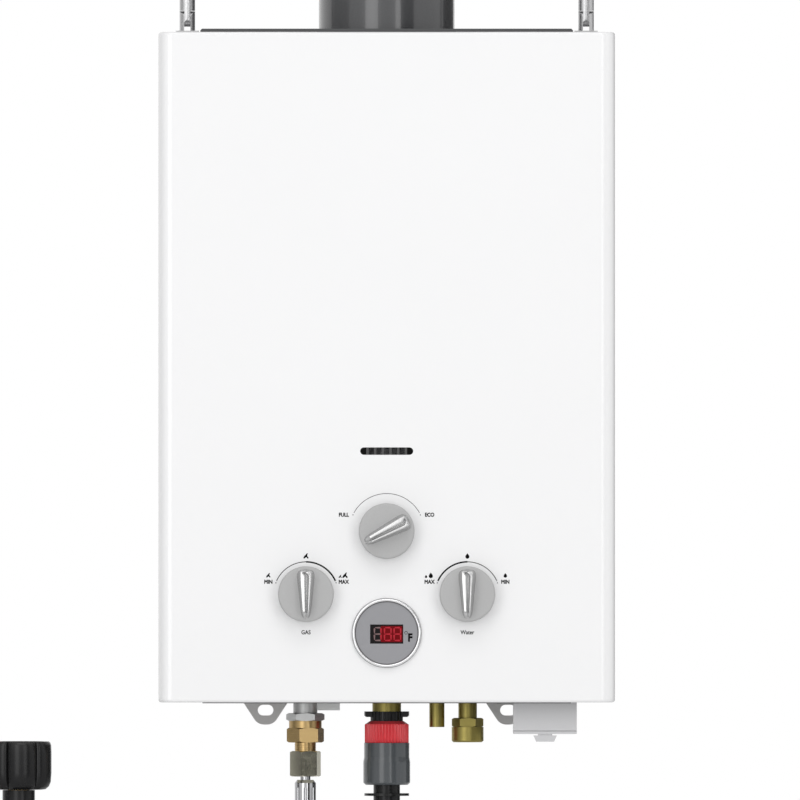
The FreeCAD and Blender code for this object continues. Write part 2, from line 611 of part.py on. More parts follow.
# The black insert behind the flame window, with upright ribs that stand in the slot.
plate = block("window_plate", ("window_length + 8", "2 * sheet", "window_width + 6"),
              ("-window_length / 2 - 4", "sheet - case_depth",
               "case_low + window_level - window_width / 2 - 3"))
ribs = [block(f"window_rib_{index}", ("window_rib", "sheet", "window_width"),
              (f"{place_of} * window_pitch - window_rib / 2", "-case_depth + sheet / 4",
               "case_low + window_level - window_width / 2"))
        for index, place_of in enumerate((-2.5, -1.5, -0.5, 0.5, 1.5, 2.5))]
ways = [block(f"window_way_{index}", ("window_pitch - window_rib", "10 * sheet", "window_width - 1"),
              (f"{place_of} * window_pitch + window_rib / 2", "-case_depth - sheet",
               "case_low + window_level - window_width / 2 + 0.5"))
        for index, place_of in enumerate((-2.5, -1.5, -0.5, 0.5, 1.5))]
piece("window_insert", cut("window_insert_cut", fuse("window_joined", [plate] + ribs), ways))

# The handle: a bent stainless rod, each foot of which is a tongue in a forked hinge.
hinge = f"({TOP} + hinge_rise)"
crown = f"({hinge} + handle_height)"
side_rise = f"(handle_height - handle_bend - rod_radius - fit)"
rods = []
for side, sign in (("left", "-"), ("right", "")):
    across = f"({sign}handle_half)"
    foot = (f"{across} - hinge_base / 2", "-flue_middle - hinge_base / 2", f"{TOP} - sheet")
    base = block(f"hinge_base_{side}", ("hinge_base", "hinge_base", "sheet + hinge_base_rise"), foot)
    post = rod(f"hinge_post_{side}", "rod_radius", "hinge_rise + rod_radius", (across, "-flue_middle", TOP))
    lower = block(f"hinge_lower_{side}", ("2 * rod_radius", "2 * rod_radius", "hinge_rise"),
                  (f"{across} - rod_radius", "-flue_middle - rod_radius", TOP))
    knuckle = rod(f"hinge_knuckle_{side}", "rod_radius", "2 * rod_radius",
                  (f"{across} - rod_radius", "-flue_middle", hinge), ACROSS)
    arms = common(f"hinge_arms_{side}", [post, fuse(f"hinge_shape_{side}", [lower, knuckle])])
    gap = block(f"hinge_gap_{side}", ("hinge_tongue + 2 * running", "2 * hinge_base", "2 * hinge_rise"),
                (f"{across} - hinge_tongue / 2 - running", "-flue_middle - hinge_base",
                 f"{TOP} + hinge_base_rise"))
    pin_foot = (f"{across} - rod_radius + 0.5", "-flue_middle", hinge)
    pin_hole = rod(f"hinge_pin_hole_{side}", "hinge_pin", "2 * rod_radius - 1", pin_foot, ACROSS)
    fork = fuse(f"hinge_fork_{side}_joined", [base, arms])
    piece(f"hinge_fork_{side}", cut(f"hinge_fork_cut_{side}", fork, [gap, pin_hole]))
    piece(f"hinge_pin_{side}", rod(f"hinge_pin_rod_{side}", "hinge_pin", "2 * rod_radius - 1",
                                   pin_foot, ACROSS))
    straight = rod(f"handle_rod_{side}", "rod_radius", side_rise,
                   (across, "-flue_middle", f"{hinge} + rod_radius + fit"))
    stem = rod(f"tongue_stem_{side}", "rod_radius", "4 * rod_radius",
               (across, "-flue_middle", f"{hinge} - 2 * rod_radius"))
    slab = block(f"tongue_slab_{side}", ("hinge_tongue", "2 * rod_radius", "rod_radius + 1"),
                 (f"{across} - hinge_tongue / 2", "-flue_middle - rod_radius", hinge))
    heel = rod(f"tongue_heel_{side}", "rod_radius", "hinge_tongue",
               (f"{across} - hinge_tongue / 2", "-flue_middle", hinge), ACROSS)
    tongue = common(f"tongue_{side}", [stem, fuse(f"tongue_shape_{side}", [slab, heel])])
    eye = rod(f"tongue_eye_{side}", "hinge_pin + running", "4 * rod_radius",
              (f"{across} - 2 * rod_radius", "-flue_middle", hinge), ACROSS)
    rods += [straight, cut(f"tongue_cut_{side}", tongue, [eye])]
    bend = doc.addObject("Part::Torus", f"handle_bend_{side}")
    bind(bend, Radius1="handle_bend", Radius2="rod_radius")
    bend.Angle3 = 90
    inward = "+" if side == "left" else "-"
    place(bend, (f"{across} {inward} handle_bend", "-flue_middle", f"{crown} - handle_bend"),
          FACE_FORWARD.multiply(Rotation(Vector(0, 0, 1), 90 if side == "left" else 0)))
    rods.append(bend)
rods.append(rod("handle_grip", "rod_radius", "2 * (handle_half - handle_bend)",
                ("handle_bend - handle_half", "-flue_middle", crown), ACROSS))
piece("handle", fuse("handle_joined", rods))


# The knobs: a drafted disc, a tapered grip with an index groove, and a steel shaft.
def knob(name, across, level, turn_at_rest):
    """Add one knob and its shaft, turned clockwise from the top by an angle."""
    turn = Rotation(Vector(0, 1, 0), turn_at_rest).multiply(FACE_FORWARD)
    body = new_body(name)
    disc = ring_line(sketch_on(body), ("0", "0"), "knob_radius")
    pad(body, disc, "knob_depth", TaperAngle=-2)
    round_edges(body, "knob_round", lambda edge: edge.CenterOfMass.z > number("knob_depth") - 0.01)
    grip = sketch_on(body)
    grip.setExpression("AttachmentOffset.Base.z", bound("knob_depth - 1"))
    long = "(grip_length / 2)"
    outline(grip, [
        ("-grip_tail / 2", f"-{long} + grip_tail / 4"), ("-grip_tail / 4", f"-{long}"),
        ("grip_tail / 4", f"-{long}"), ("grip_tail / 2", f"-{long} + grip_tail / 4"),
        ("grip_head / 2", f"{long} - grip_head / 4"), ("grip_head / 4", long),
        ("-grip_head / 4", long), ("-grip_head / 2", f"{long} - grip_head / 4")])
    pad(body, grip, "grip_height + 1", TaperAngle=-7)
    round_edges(body, "grip_round",
                lambda edge: edge.CenterOfMass.z > number("knob_depth + grip_height") - 0.01)
    groove = sketch_on(body)
    groove.setExpression("AttachmentOffset.Base.z", bound("knob_depth + grip_height"))
    outline(groove, [("-index_width / 2", "0"), ("index_width / 2", "0"),
                     ("index_width / 2", "grip_length"), ("-index_width / 2", "grip_length")])
    pocket(body, groove, "index_depth")
    seat = ring_line(sketch_on(body), ("0", "0"), "shaft_radius")
    pocket(body, seat, "shaft_seat", Reversed=True)
    place(body, (across, "-case_depth - knob_gap", f"case_low + {level}"), turn)
    piece(f"{name}_knob", body)
    back_end = ("selector_front" if name == "season" else "valve_front") + " - valve_bore + running"
    shaft = rod(f"{name}_shaft_rod", "shaft_radius", f"case_depth + knob_gap + shaft_seat - ({back_end})",
                (across, f"-({back_end})", f"case_low + {level}"), FACE_FORWARD)
    piece(f"{name}_shaft", shaft)


knob("gas", "-dial_side", "dial_level", 0)
knob("water", "dial_side", "dial_level", 0)
knob("season", "0", "season_level", number("season_turn"))

# The display: chromed bezel, grey disc and tinted window for the digits.
display_place = ("0", "-case_depth", "case_low + display_level")
hole = "(bezel_radius - bezel_rim - fit)"
piece("display_bezel", turned("display_bezel", [
    (hole + " + fit", "0"), ("bezel_radius", "0"), ("bezel_radius", "bezel_rise / 2"),
    ("bezel_radius - bezel_rim / 3", "bezel_rise"), ("bezel_radius - 2 * bezel_rim / 3", "bezel_rise"),
    (hole + " + fit", "display_rise")], display_place, FACE_FORWARD))
lens_low = "case_low + display_level - lens_drop - lens_height / 2"
window = block("lens_block", ("lens_length", "lens_depth", "lens_height"),
               ("-lens_length / 2", "-case_depth - display_rise", lens_low))
disc = rod("display_disc", hole + " + fit", "display_rise", display_place, FACE_FORWARD)
neck = rod("display_neck", hole, "sheet + 0.1",
           ("0", "sheet - case_depth", "case_low + display_level"), FACE_FORWARD)
window_hole = block("lens_hole", ("lens_length", "4 * lens_depth", "lens_height"),
                    ("-lens_length / 2", "-case_depth - 2 * lens_depth", lens_low))
piece("display_disc", cut("display_disc_cut", fuse("display_disc_joined", [disc, neck]), [window_hole]))
piece("display_lens", window)

# The battery box hangs through the bottom panel, opens below and ends the hinge of its lid.
left = "(battery_side - battery_width / 2)"
low_edge = "(case_low - battery_drop)"
rear = "(battery_depth - battery_front)"
axis_back = f"({rear} + lid_knuckle + fit)"
outer = block("battery_outer", ("battery_width", "battery_depth", "battery_top + battery_drop"),
              (left, "-battery_front", low_edge))
inner = block("battery_inner", ("battery_width - 2 * battery_wall", "battery_depth - 2 * battery_wall",
                                "battery_top + battery_drop"),
              (f"{left} + battery_wall", "battery_wall - battery_front", f"{low_edge} - battery_wall"))
knuckles = []
for side, corner in (("left", left), ("right", f"{left} + battery_width - lid_knuckle_length")):
    knuckles.append(rod(f"box_knuckle_{side}", "lid_knuckle", "lid_knuckle_length",
                        (corner, axis_back, low_edge), ACROSS))
    knuckles.append(block(f"box_web_{side}", ("lid_knuckle_length", "lid_knuckle + fit", "lid_knuckle"),
                          (corner, rear, low_edge)))
pin_way = rod("battery_pin_way", "lid_pin", "battery_width + 2",
              (f"{left} - 1", axis_back, low_edge), ACROSS)
piece("battery_box", cut("battery_box_cut", fuse("battery_box_joined", [
    cut("battery_shell", outer, [inner])] + knuckles), [pin_way]))

# The lid: a plate with the middle knuckle of the hinge behind and a finger tab in front.
lid_top = f"({low_edge} - fit)"
plate = block("lid_plate", ("battery_width", "battery_depth", "battery_lid_sheet"),
              (left, "-battery_front", f"{lid_top} - battery_lid_sheet"))
span = "(battery_width - 2 * lid_knuckle_length - 2 * fit)"
start = f"{left} + lid_knuckle_length + fit"
knuckle = rod("lid_knuckle_rod", "lid_knuckle", span, (start, axis_back, low_edge), ACROSS)
web = block("lid_web", (span, "lid_knuckle + fit", "battery_lid_sheet"),
            (start, rear, f"{lid_top} - battery_lid_sheet"))
body = new_body("lid_tab")
pad(body, outline(sketch_on(body, "XZ_Plane"), [
    ("-battery_tab_neck / 2", "0.5"), ("-battery_tab_neck / 2", "-tab_neck"),
    ("-battery_tab_head / 2", "-tab_neck"), ("-battery_tab_foot / 2", "-tab_drop"),
    ("battery_tab_foot / 2", "-tab_drop"), ("battery_tab_head / 2", "-tab_neck"),
    ("battery_tab_neck / 2", "-tab_neck"), ("battery_tab_neck / 2", "0.5")]), "tab_thick")
place(body, ("battery_side", "tab_thick + battery_wall - battery_front", f"{lid_top} - battery_lid_sheet"))
lid_eye = rod("lid_eye", "lid_pin + running", "battery_width + 2",
              (f"{left} - 1", axis_back, low_edge), ACROSS)
lid = fuse("battery_lid_joined", [plate, body, knuckle, web])
piece("battery_lid", cut("battery_lid_cut", lid, [lid_eye]))
piece("lid_hinge_pin", rod("lid_pin_rod", "lid_pin", "battery_width", (left, axis_back, low_edge), ACROSS))
for index, name in enumerate(("front", "rear")):
    piece(f"battery_cell_{name}", rod(
        f"cell_{name}", "cell_radius", "cell_length",
        ("battery_side", f"battery_depth / 2 - battery_front {'-+'[index]} (cell_radius + fit)",
         "case_low + battery_top - battery_wall - cell_length")))


def down(*heights):
    """The level below the case's lower edge after a stack of heights."""
    return "(case_low - " + " - ".join(heights) + ")"


def nut(name, flats, height, foot, bore, turn=UPRIGHT):
    """A hexagon with chamfered corners and a bore."""
    corner = f"(({flats}) / 2 / cos(30))"
    soft = f"({corner} - ({flats}) / 2)"
    round_body = turned(name + "_round", [
        (bore, "0"), (f"({flats}) / 2", "0"), (corner, f"{soft} / 2"), (corner, f"({height}) - {soft} / 2"),
        (f"({flats}) / 2", height), (bore, height)], foot, turn)
    return common(name + "_nut", [hexagon(name + "_hexagon", flats, height, foot, turn), round_body])


def ribbed(name, profile, reach, rib, span, count, foot):
    """A turned solid with upright ribs: reach is their radius, rib their depth and width."""
    body = turned(name, profile, foot)
    sketch = sketch_on(body)
    sketch.setExpression("AttachmentOffset.Base.z", bound(span[0]))
    outline(sketch, [(f"({reach}) - 2 * ({rib})", f"-({rib})"), (reach, f"-({rib}) / 2"),
                     (reach, f"({rib}) / 2"), (f"({reach}) - 2 * ({rib})", rib)])
    first = pad(body, sketch, f"({span[1]}) - ({span[0]})")
    doc.recompute()
    pattern = body.newObject("PartDesign::PolarPattern", "Ribs")
    pattern.Originals = [first]
    pattern.Axis = (sketch, ["N_Axis"])
    pattern.Angle = 360
    pattern.setExpression("Occurrences", bound(count))
    body.Tip = pattern
    return body


# The gas inlet: steel pipe with a welded tab, collar, brass adaptor and the hose's swivel nut.
gas = "-gas_side"
gas_bore = "(ferrule_neck_radius - 1)"
pipe = turned("gas_pipe", [(gas_bore, "-gas_pipe_drop"), ("gas_pipe_radius", "-gas_pipe_drop"),
                           ("gas_pipe_radius", "valve_low"), (gas_bore, "valve_low")],
              (gas, "-row_depth", "case_low"))
tab = block("gas_tab", ("2 * gas_pipe_radius", "gas_pipe_radius / 2", "0.64 * gas_pipe_drop"),
            (f"{gas} + gas_pipe_radius - 1", "-row_depth - gas_pipe_radius / 4",
             "case_low - 0.76 * gas_pipe_drop"))
piece("gas_inlet_pipe", fuse("gas_pipe_joined", [pipe, tab]))
levels = ["gas_pipe_drop", "gas_collar_height"]
piece("gas_inlet_collar", nut("gas_collar", "gas_collar_flats", "gas_collar_height",
                              (gas, "-row_depth", down(*levels)), gas_bore))
levels.append("adaptor_neck_height")
neck_low = down(*levels)
levels.append("adaptor_hex_height")
hex_low = down(*levels)
levels.append("adaptor_thread_height")
nut_top = down(*levels)
engaged = "(hose_nut_height / 2)"
neck = turned("adaptor_turned", [
    (gas_bore, f"-adaptor_thread_height - {engaged}"),
    ("adaptor_thread_radius", f"-adaptor_thread_height - {engaged}"),
    ("adaptor_thread_radius", "adaptor_hex_height / 2"), ("adaptor_neck_radius", "adaptor_hex_height / 2"),
    ("adaptor_neck_radius", "adaptor_hex_height + adaptor_neck_height"),
    (gas_bore, "adaptor_hex_height + adaptor_neck_height")], (gas, "-row_depth", hex_low))
piece("gas_adaptor", fuse("gas_adaptor_joined", [
    neck, nut("gas_adaptor", "adaptor_flats", "adaptor_hex_height", (gas, "-row_depth", hex_low), gas_bore,
              Rotation(Vector(0, 0, 1), number("adaptor_turn")))]))
levels.append("hose_nut_height")
nut_low = down(*levels)
flare = "(adaptor_thread_radius - 1)"
bore_tool = rod("hose_nut_bore", "adaptor_thread_radius + running",
                f"2 * {engaged} - hose_nut_height / 4 + 1",
                (gas, "-row_depth", f"{nut_low} + hose_nut_height / 4"))
piece("hose_nut", cut("hose_nut_cut", nut(
    "hose_nut", "hose_nut_flats", "hose_nut_height", (gas, "-row_depth", nut_low),
    "ferrule_neck_radius + running", Rotation(Vector(0, 0, 1), number("hose_nut_turn"))), [bore_tool]))
levels.append("ferrule_neck_height")
ferrule_top = down(*levels)
levels.append("ferrule_length")
hose_start = down(*levels)
stem = turned("ferrule_turned", [
    ("0", "0"), ("ferrule_radius", "0"), ("ferrule_radius", "ferrule_length - 2"),
    ("ferrule_radius - 1.5", "ferrule_length"), ("ferrule_neck_radius", "ferrule_length"),
    ("ferrule_neck_radius", "ferrule_length + ferrule_neck_height + hose_nut_height / 4 + fit"),
    (flare, "ferrule_length + ferrule_neck_height + hose_nut_height / 4 + fit"),
    (flare, f"ferrule_length + ferrule_neck_height + {engaged}"),
    ("0", f"ferrule_length + ferrule_neck_height + {engaged}")], (gas, "-row_depth", hose_start))
grooves = []
for index in range(8):
    angle = 45 * index
    reach = "(ferrule_radius + 0.2)"
    grooves.append(rod(f"crimp_{index}", "crimp_radius", "ferrule_length - 8",
                       (f"{gas} + {reach} * cos({angle})", f"{reach} * sin({angle}) - row_depth",
                        f"{hose_start} + 3")))
piece("hose_ferrule", cut("ferrule_cut", stem, grooves))

# The hot outlet: brass stub, black tap adaptor, and the quick connector with its sliding sleeve.
piece("outlet_stub", turned("outlet_stub", [
    ("tail_bore", "-outlet_drop"), ("outlet_radius", "-outlet_drop"), ("outlet_radius", "outlet_inside"),
    ("tail_bore", "outlet_inside")], ("0", "-row_depth", "case_low")))
levels = ["outlet_drop", "tap_ear_height"]
ears_low = down(*levels)
levels.append("tap_neck_height")
collar_top = down(*levels)
levels.append("collar_height")
collar_low = down(*levels)
levels.append("sleeve_height")
sleeve_low = down(*levels)
ring = turned("tap_ring", [
    ("tap_neck_radius - 2", "0"), ("tap_ear_reach - 1", "0"), ("tap_ear_reach", "1"),
    ("tap_ear_reach", "tap_ear_height"), ("tap_neck_radius - 2", "tap_ear_height")],
    ("0", "-row_depth", ears_low))
bar = block("tap_ear_bar", ("2 * tap_ear_reach", "tap_ear_depth", "tap_ear_height"),
            ("-tap_ear_reach", "-row_depth - tap_ear_depth / 2", ears_low))
ears = common("tap_ears", [ring, bar])
drum_low = "(-tap_neck_height - collar_height / 2)"
drum = turned("tap_drum", [
    ("tail_bore", drum_low), ("tap_neck_radius", drum_low), ("tap_neck_radius", "tap_ear_height"),
    ("tail_bore", "tap_ear_height")], ("0", "-row_depth", ears_low))
notches = []
for index in range(int(number("tap_notches"))):
    angle = f"(360 * ({index} + 0.5) / tap_notches)"
    notches.append(rod(f"tap_notch_{index}", "tap_notch", "tap_neck_height + tap_ear_height + 1",
                       (f"tap_neck_radius * cos({angle})", f"tap_neck_radius * sin({angle}) - row_depth",
                        f"{ears_low} - tap_neck_height")))
piece("tap_adaptor", fuse("tap_adaptor_joined", [cut("tap_drum_cut", drum, notches), ears]))
slide_bore = "(core_radius + running)"
piece("quick_collar", ribbed("quick_collar", [
    (slide_bore, "0"), ("collar_radius - collar_rib", "0"),
    ("collar_radius - collar_rib", "collar_height - 2"),
    ("collar_radius - 3", "collar_height"), (slide_bore, "collar_height")],
    "collar_radius", "collar_rib", ("0", "collar_height - 2.5"), "collar_ribs",
    ("0", "-row_depth", collar_low)))
piece("quick_sleeve", turned("quick_sleeve", [
    (slide_bore, "0"), ("sleeve_radius - 1.5", "0"), ("sleeve_radius", "1.5"),
    ("sleeve_radius", "0.54 * sleeve_height"), ("sleeve_top_radius", "0.66 * sleeve_height"),
    ("sleeve_top_radius", "sleeve_height"),
    (slide_bore, "sleeve_height")], ("0", "-row_depth", sleeve_low)))
core_low = "(tail_flange_gap + sleeve_slide + 2)"
piece("connector_tail", turned("connector_tail", [
    ("tail_bore", "-tail_flange_height - tail_length"),
    ("tail_radius", "-tail_flange_height - tail_length"),
    ("tail_radius", "-tail_flange_height"), ("tail_flange_radius", "-tail_flange_height"),
    ("tail_flange_radius", "0"), ("tail_radius", "0"), ("tail_radius", core_low), ("core_radius", core_low),
    ("core_radius", "tail_flange_gap + sleeve_height + collar_height / 2"),
    ("tail_bore", "tail_flange_gap + sleeve_height + collar_height / 2")],
    ("0", "-row_depth", f"{sleeve_low} - tail_flange_gap")))

# The drain stub and the water inlet with its thread.
piece("drain_stub", turned("drain_stub", [
    ("drain_radius - 2", "-drain_drop"), ("drain_radius", "-drain_drop"), ("drain_radius", "-field_drop"),
    ("drain_radius + drain_step", "-field_drop"), ("drain_radius + drain_step", "outlet_inside"),
    ("drain_radius - 2", "outlet_inside")], ("drain_side", "-row_depth", "case_low")))
piece("water_inlet_pipe", turned("water_inlet_pipe", [
    ("inlet_pipe_radius - 1.2", "-inlet_pipe_drop"), ("inlet_pipe_radius", "-inlet_pipe_drop"),
    ("inlet_pipe_radius", "valve_low"), ("inlet_pipe_radius - 1.2", "valve_low")],
    ("inlet_side", "-row_depth", "case_low")))
hex_low = down("inlet_pipe_drop", "inlet_hex_height")
thread = turned("inlet_thread", [
    ("inlet_bore", "-inlet_thread_height"), ("inlet_thread_radius - 1", "-inlet_thread_height"),
    ("inlet_thread_radius", "1 - inlet_thread_height"), ("inlet_thread_radius", "0.1"),
    ("inlet_bore", "0.1")],
    ("inlet_side", "-row_depth", hex_low))
union = fuse("inlet_joined", [thread, nut("inlet", "inlet_flats", "inlet_hex_height",
                                          ("inlet_side", "-row_depth", hex_low), "inlet_pipe_radius - 1.2")])
piece("water_inlet_union", union)

# Inside the case: burner, heat exchanger and draft hood in one column on two rails.
burner_low = "(case_low + burner_low)"
shell_low = "(case_low + burner_low + burner_height)"
fins_low = f"({shell_low} + shell_height)"
hood_low = f"({fins_low} + fins_height)"
hood_top = f"({TOP} - sheet - panel_sheet)"
left = "(-chamber_width / 2)"
front = "(-chamber_back - chamber_depth)"


def frame(name, low, height, floor):
    """A rectangular sheet box of the chamber's size, open above, with a floor or a hole of some depth."""
    outer = block(name + "_outer", ("chamber_width", "chamber_depth", height), (left, front, low))
    inner = block(name + "_inner", ("chamber_width - 2 * chamber_sheet", "chamber_depth - 2 * chamber_sheet",
                                    f"2 * ({height})"),
                  (f"{left} + chamber_sheet", f"{front} + chamber_sheet", f"{low} {floor}"))
    return cut(name + "_frame", outer, [inner])


piece("burner_frame", frame("burner", burner_low, "burner_height", "+ chamber_sheet"))
bars = [block("burner_cross", ("chamber_width - 2 * chamber_sheet", "burner_bar", "burner_bar"),
              (f"{left} + chamber_sheet", f"{front} + chamber_sheet", f"{burner_low} + chamber_sheet"))]
burner_count, fin_count = int(number("burner_count")), int(number("fin_count"))
for index in range(burner_count):
    bars.append(block(f"burner_bar_{index}",
                      ("burner_bar", "chamber_depth - 2 * chamber_sheet", "burner_height / 2"),
                      (f"{index - (burner_count - 1) / 2} * burner_pitch - burner_bar / 2",
                       f"{front} + chamber_sheet", f"{burner_low} + chamber_sheet")))
piece("burner_bars", fuse("burner_bars_joined", bars))
piece("exchanger_shell", frame("shell", shell_low, "shell_height", "- shell_height / 2"))
fins = block("fin_block", ("chamber_width", "chamber_depth", "fins_height"), (left, front, fins_low))
gaps = [block(f"fin_gap_{index}", ("fin_pitch - 2 * chamber_sheet", "chamber_depth - 4 * chamber_sheet",
                                   "fins_height + 2"),
              (f"{index - fin_count / 2} * fin_pitch + chamber_sheet", f"{front} + 2 * chamber_sheet",
               f"{fins_low} - 1")) for index in range(fin_count)]
passes = [f"(chamber_back + chamber_depth / 2 + {index} * pass_pitch)" for index in (-1, 0, 1)]
level = f"({fins_low} + fins_height / 2)"
pass_holes = [rod(f"fin_hole_{index}", "pipe_radius", "2 * chamber_width",
                  ("-chamber_width", "-" + where, level), ACROSS) for index, where in enumerate(passes)]
piece("exchanger_fins", cut("fins_cut", fins, gaps + pass_holes))
hood = block("hood_outer", ("chamber_width", "chamber_depth", f"{hood_top} - {hood_low}"),
             (left, front, hood_low))
hood_space = block("hood_inner", ("chamber_width - 2 * chamber_sheet", "chamber_depth - 2 * chamber_sheet",
                                  f"{hood_top} - {hood_low}"),
                   (f"{left} + chamber_sheet", f"{front} + chamber_sheet", f"{hood_low} - chamber_sheet"))
piece("draft_hood", cut("hood_cut", hood, [hood_space, rod(
    "hood_hole", "flue_radius", "10 * sheet", ("0", "-flue_middle", f"{TOP} - 8 * sheet"))]))
for side, sign in (("left", "-"), ("right", "")):
    piece(f"support_rail_{side}", block(
        f"rail_{side}", ("rail_width", "chamber_back - back_sheet", "case_height - burner_low - 4 * lip"),
        (f"{sign}rail_side - rail_width / 2", "-chamber_back", burner_low)))

# The valves behind the gas and water knobs, the manifold and the selector behind the season knob.
valve_low = "(case_low + valve_low)"
for name, side in (("gas", "-dial_side"), ("water", "dial_side")):
    base = block(f"{name}_valve_block", ("valve_width", "valve_depth", "valve_height"),
                 (f"{side} - valve_width / 2", "-valve_front", valve_low))
    bore = rod(f"{name}_valve_bore", "shaft_radius + running", "valve_bore + 1",
               (side, "valve_bore - valve_front", "case_low + dial_level"), FACE_FORWARD)
    piece(f"{name}_valve", cut(f"{name}_valve_cut", base, [bore]))
manifold_low = f"({burner_low} - manifold_height)"
bar = block("manifold_bar", ("manifold_width", "manifold_height", "manifold_height"),
            ("-manifold_width / 2", "-row_depth - manifold_height", manifold_low))
riser = rod("manifold_riser", "pipe_radius", f"{manifold_low} - {valve_low} - valve_height + 1",
            ("-dial_side", "-row_depth - manifold_height / 2", f"{valve_low} + valve_height"))
block_low = "(case_low + season_level - selector_width / 2)"
selector = block("selector_block",
                 ("selector_width", "selector_front - row_depth", f"{manifold_low} - {block_low} + 1"),
                 ("-selector_width / 2", "-selector_front", block_low))
bore = rod("selector_bore", "shaft_radius + running", "valve_bore + 1",
           ("0", "valve_bore - selector_front", "case_low + season_level"), FACE_FORWARD)
piece("gas_manifold", cut("manifold_cut", fuse("manifold_joined", [bar, riser, selector]), [bore]))


def tube(name, points, radius, bends=None):
    """A round bar along straight runs with tangent arcs, of a set radius or as large as the runs allow."""
    edges = []
    start = points[0]
    radii = []
    for index in range(1, len(points) - 1):
        back, corner, ahead = points[index - 1], points[index], points[index + 1]
        inward, outward = (corner - back).normalize(), (ahead - corner).normalize()
        half_turn = inward.getAngle(outward) / 2
        shorter = min((corner - back).Length, (ahead - corner).Length)
        bend = bends if bends else 0.45 * shorter / math.tan(half_turn)
        reach = bend * math.tan(half_turn)
        first, last = corner - inward * reach, corner + outward * reach
        middle = (first + last) / 2
        apex = middle + (corner - middle) * (math.tan(half_turn / 2) / math.tan(half_turn))
        edges += [Part.LineSegment(start, first).toShape(), Part.Arc(first, apex, last).toShape()]
        start = last
        radii.append(round(bend, 1))
    edges.append(Part.LineSegment(start, points[-1]).toShape())
    return sweep(name, edges, radius, radii)


def sweep(name, edges, radius, radii):
    """Sweep a circle along tangent edges and compare the volume with section times length."""
    path = Part.Wire(edges)
    first = edges[0]
    ring = Part.Wire(Part.Circle(first.valueAt(first.FirstParameter), first.tangentAt(first.FirstParameter),
                                 radius).toShape())
    solid = path.makePipeShell([ring], True, False)
    expected = math.pi * radius ** 2 * path.Length
    share = solid.Volume / expected
    print(f"{name}: length {path.Length:.1f}, bend radii {radii}, volume share {share:.4f}")
    if abs(share - 1) > 0.01:
        raise RuntimeError(f"{name}: the swept volume is off")
    feature = doc.addObject("Part::Feature", name)
    feature.Shape = solid
    return feature


def spot(across, back, up):
    """A point from three expressions."""
    return Vector(number(across), number(back), number(up))


# One copper pipe from the water valve up through the fins and down to the hot outlet.
out = "(chamber_width / 2 + pipe_reach)"
turn_out = "(chamber_width / 2 + pass_pitch / 2)"
rear_pass, middle_pass, front_pass = ["-" + where for where in passes]
low_run = "(case_low + pipe_low)"
valve_middle = "(valve_depth / 2 - valve_front)"
path = [
    spot("dial_side + valve_width / 2", valve_middle, "case_low + dial_level"),
    spot(out, valve_middle, "case_low + dial_level"), spot(out, valve_middle, level),
    spot(out, rear_pass, level),
    spot("-" + turn_out, rear_pass, level), spot("-" + turn_out, middle_pass, level),
    spot(turn_out, middle_pass, level), spot(turn_out, front_pass, level),
    spot("-" + out, front_pass, level), spot("-" + out, front_pass, low_run),
    spot("0", front_pass, low_run), spot("0", "-row_depth", low_run),
    spot("0", "-row_depth", "case_low + outlet_inside")]
piece("exchanger_pipe", tube("exchanger_pipe", path, number("pipe_radius"),
                             bends=number("pass_pitch") / 2 - 0.5))

# The hose hangs from its ferrule to a coil below, and from the coil up to the regulator.
wire = number("hose_radius")
start = spot("-gas_side", "-row_depth", hose_start)
ring_x, ring_z = -160, -230
coil_radius, pitch = number("coil_radius"), number("coil_pitch")
QUARTERS = 10
far_y = start.y - pitch * QUARTERS / 4
tail = 2 * wire
right_x, left_x = ring_x + coil_radius, ring_x - coil_radius
coil_in, coil_out = Vector(right_x, start.y, ring_z + tail), Vector(left_x, far_y, ring_z + tail)
nut_low = "(case_low - tank_nut_top - tank_nut_height)"
bowl = f"({nut_low} - fit - tank_neck_height - regulator_radius + 2)"
socket_low = f"({bowl} - regulator_radius - barb_length)"
tank_x = number("-tank_nut_side")
hose_end = Vector(tank_x, far_y, number(socket_low))
piece("gas_hose_upper", tube("gas_hose_upper", [
    start, Vector(start.x, start.y, -112), Vector(right_x, start.y, -177.5), coil_in], wire))
piece("gas_hose_lower", tube("gas_hose_lower", [
    coil_out, Vector(left_x, far_y, -190), Vector(tank_x, far_y, -157.5), hose_end], wire))


def coil_point(turn):
    """A point of the coil's middle line, clockwise from its right side, seen from the front."""
    angle = 2 * math.pi * turn
    return Vector(ring_x + coil_radius * math.cos(angle), start.y - pitch * turn,
                  ring_z - coil_radius * math.sin(angle))


def coil_heading(turn):
    """The direction of the coil at that point."""
    angle = 2 * math.pi * turn
    round_trip = 2 * math.pi * coil_radius
    return Vector(-math.sin(angle) * round_trip, -pitch, -math.cos(angle) * round_trip).normalize()


def arc_between(begin, corner, end):
    """The arc from begin to end whose tangents meet at corner."""
    middle = (begin + end) / 2
    half_turn = (corner - begin).getAngle(end - begin)
    apex = middle + (corner - middle) * (math.tan(half_turn / 2) / math.tan(half_turn))
    return Part.Arc(begin, apex, end).toShape()


def biarc(begin, heading, end, end_heading):
    """Two arcs that leave and arrive in given directions."""
    chord = end - begin
    total = heading + end_heading
    square = 2 * (heading.dot(end_heading) - 1)
    linear = -2 * chord.dot(total)
    reach = (-linear - math.sqrt(linear ** 2 - 4 * square * chord.dot(chord))) / (2 * square)
    first, second = begin + heading * reach, end - end_heading * reach
    joint = (first + second) / 2
    return [arc_between(begin, first, joint), arc_between(joint, second, end)]


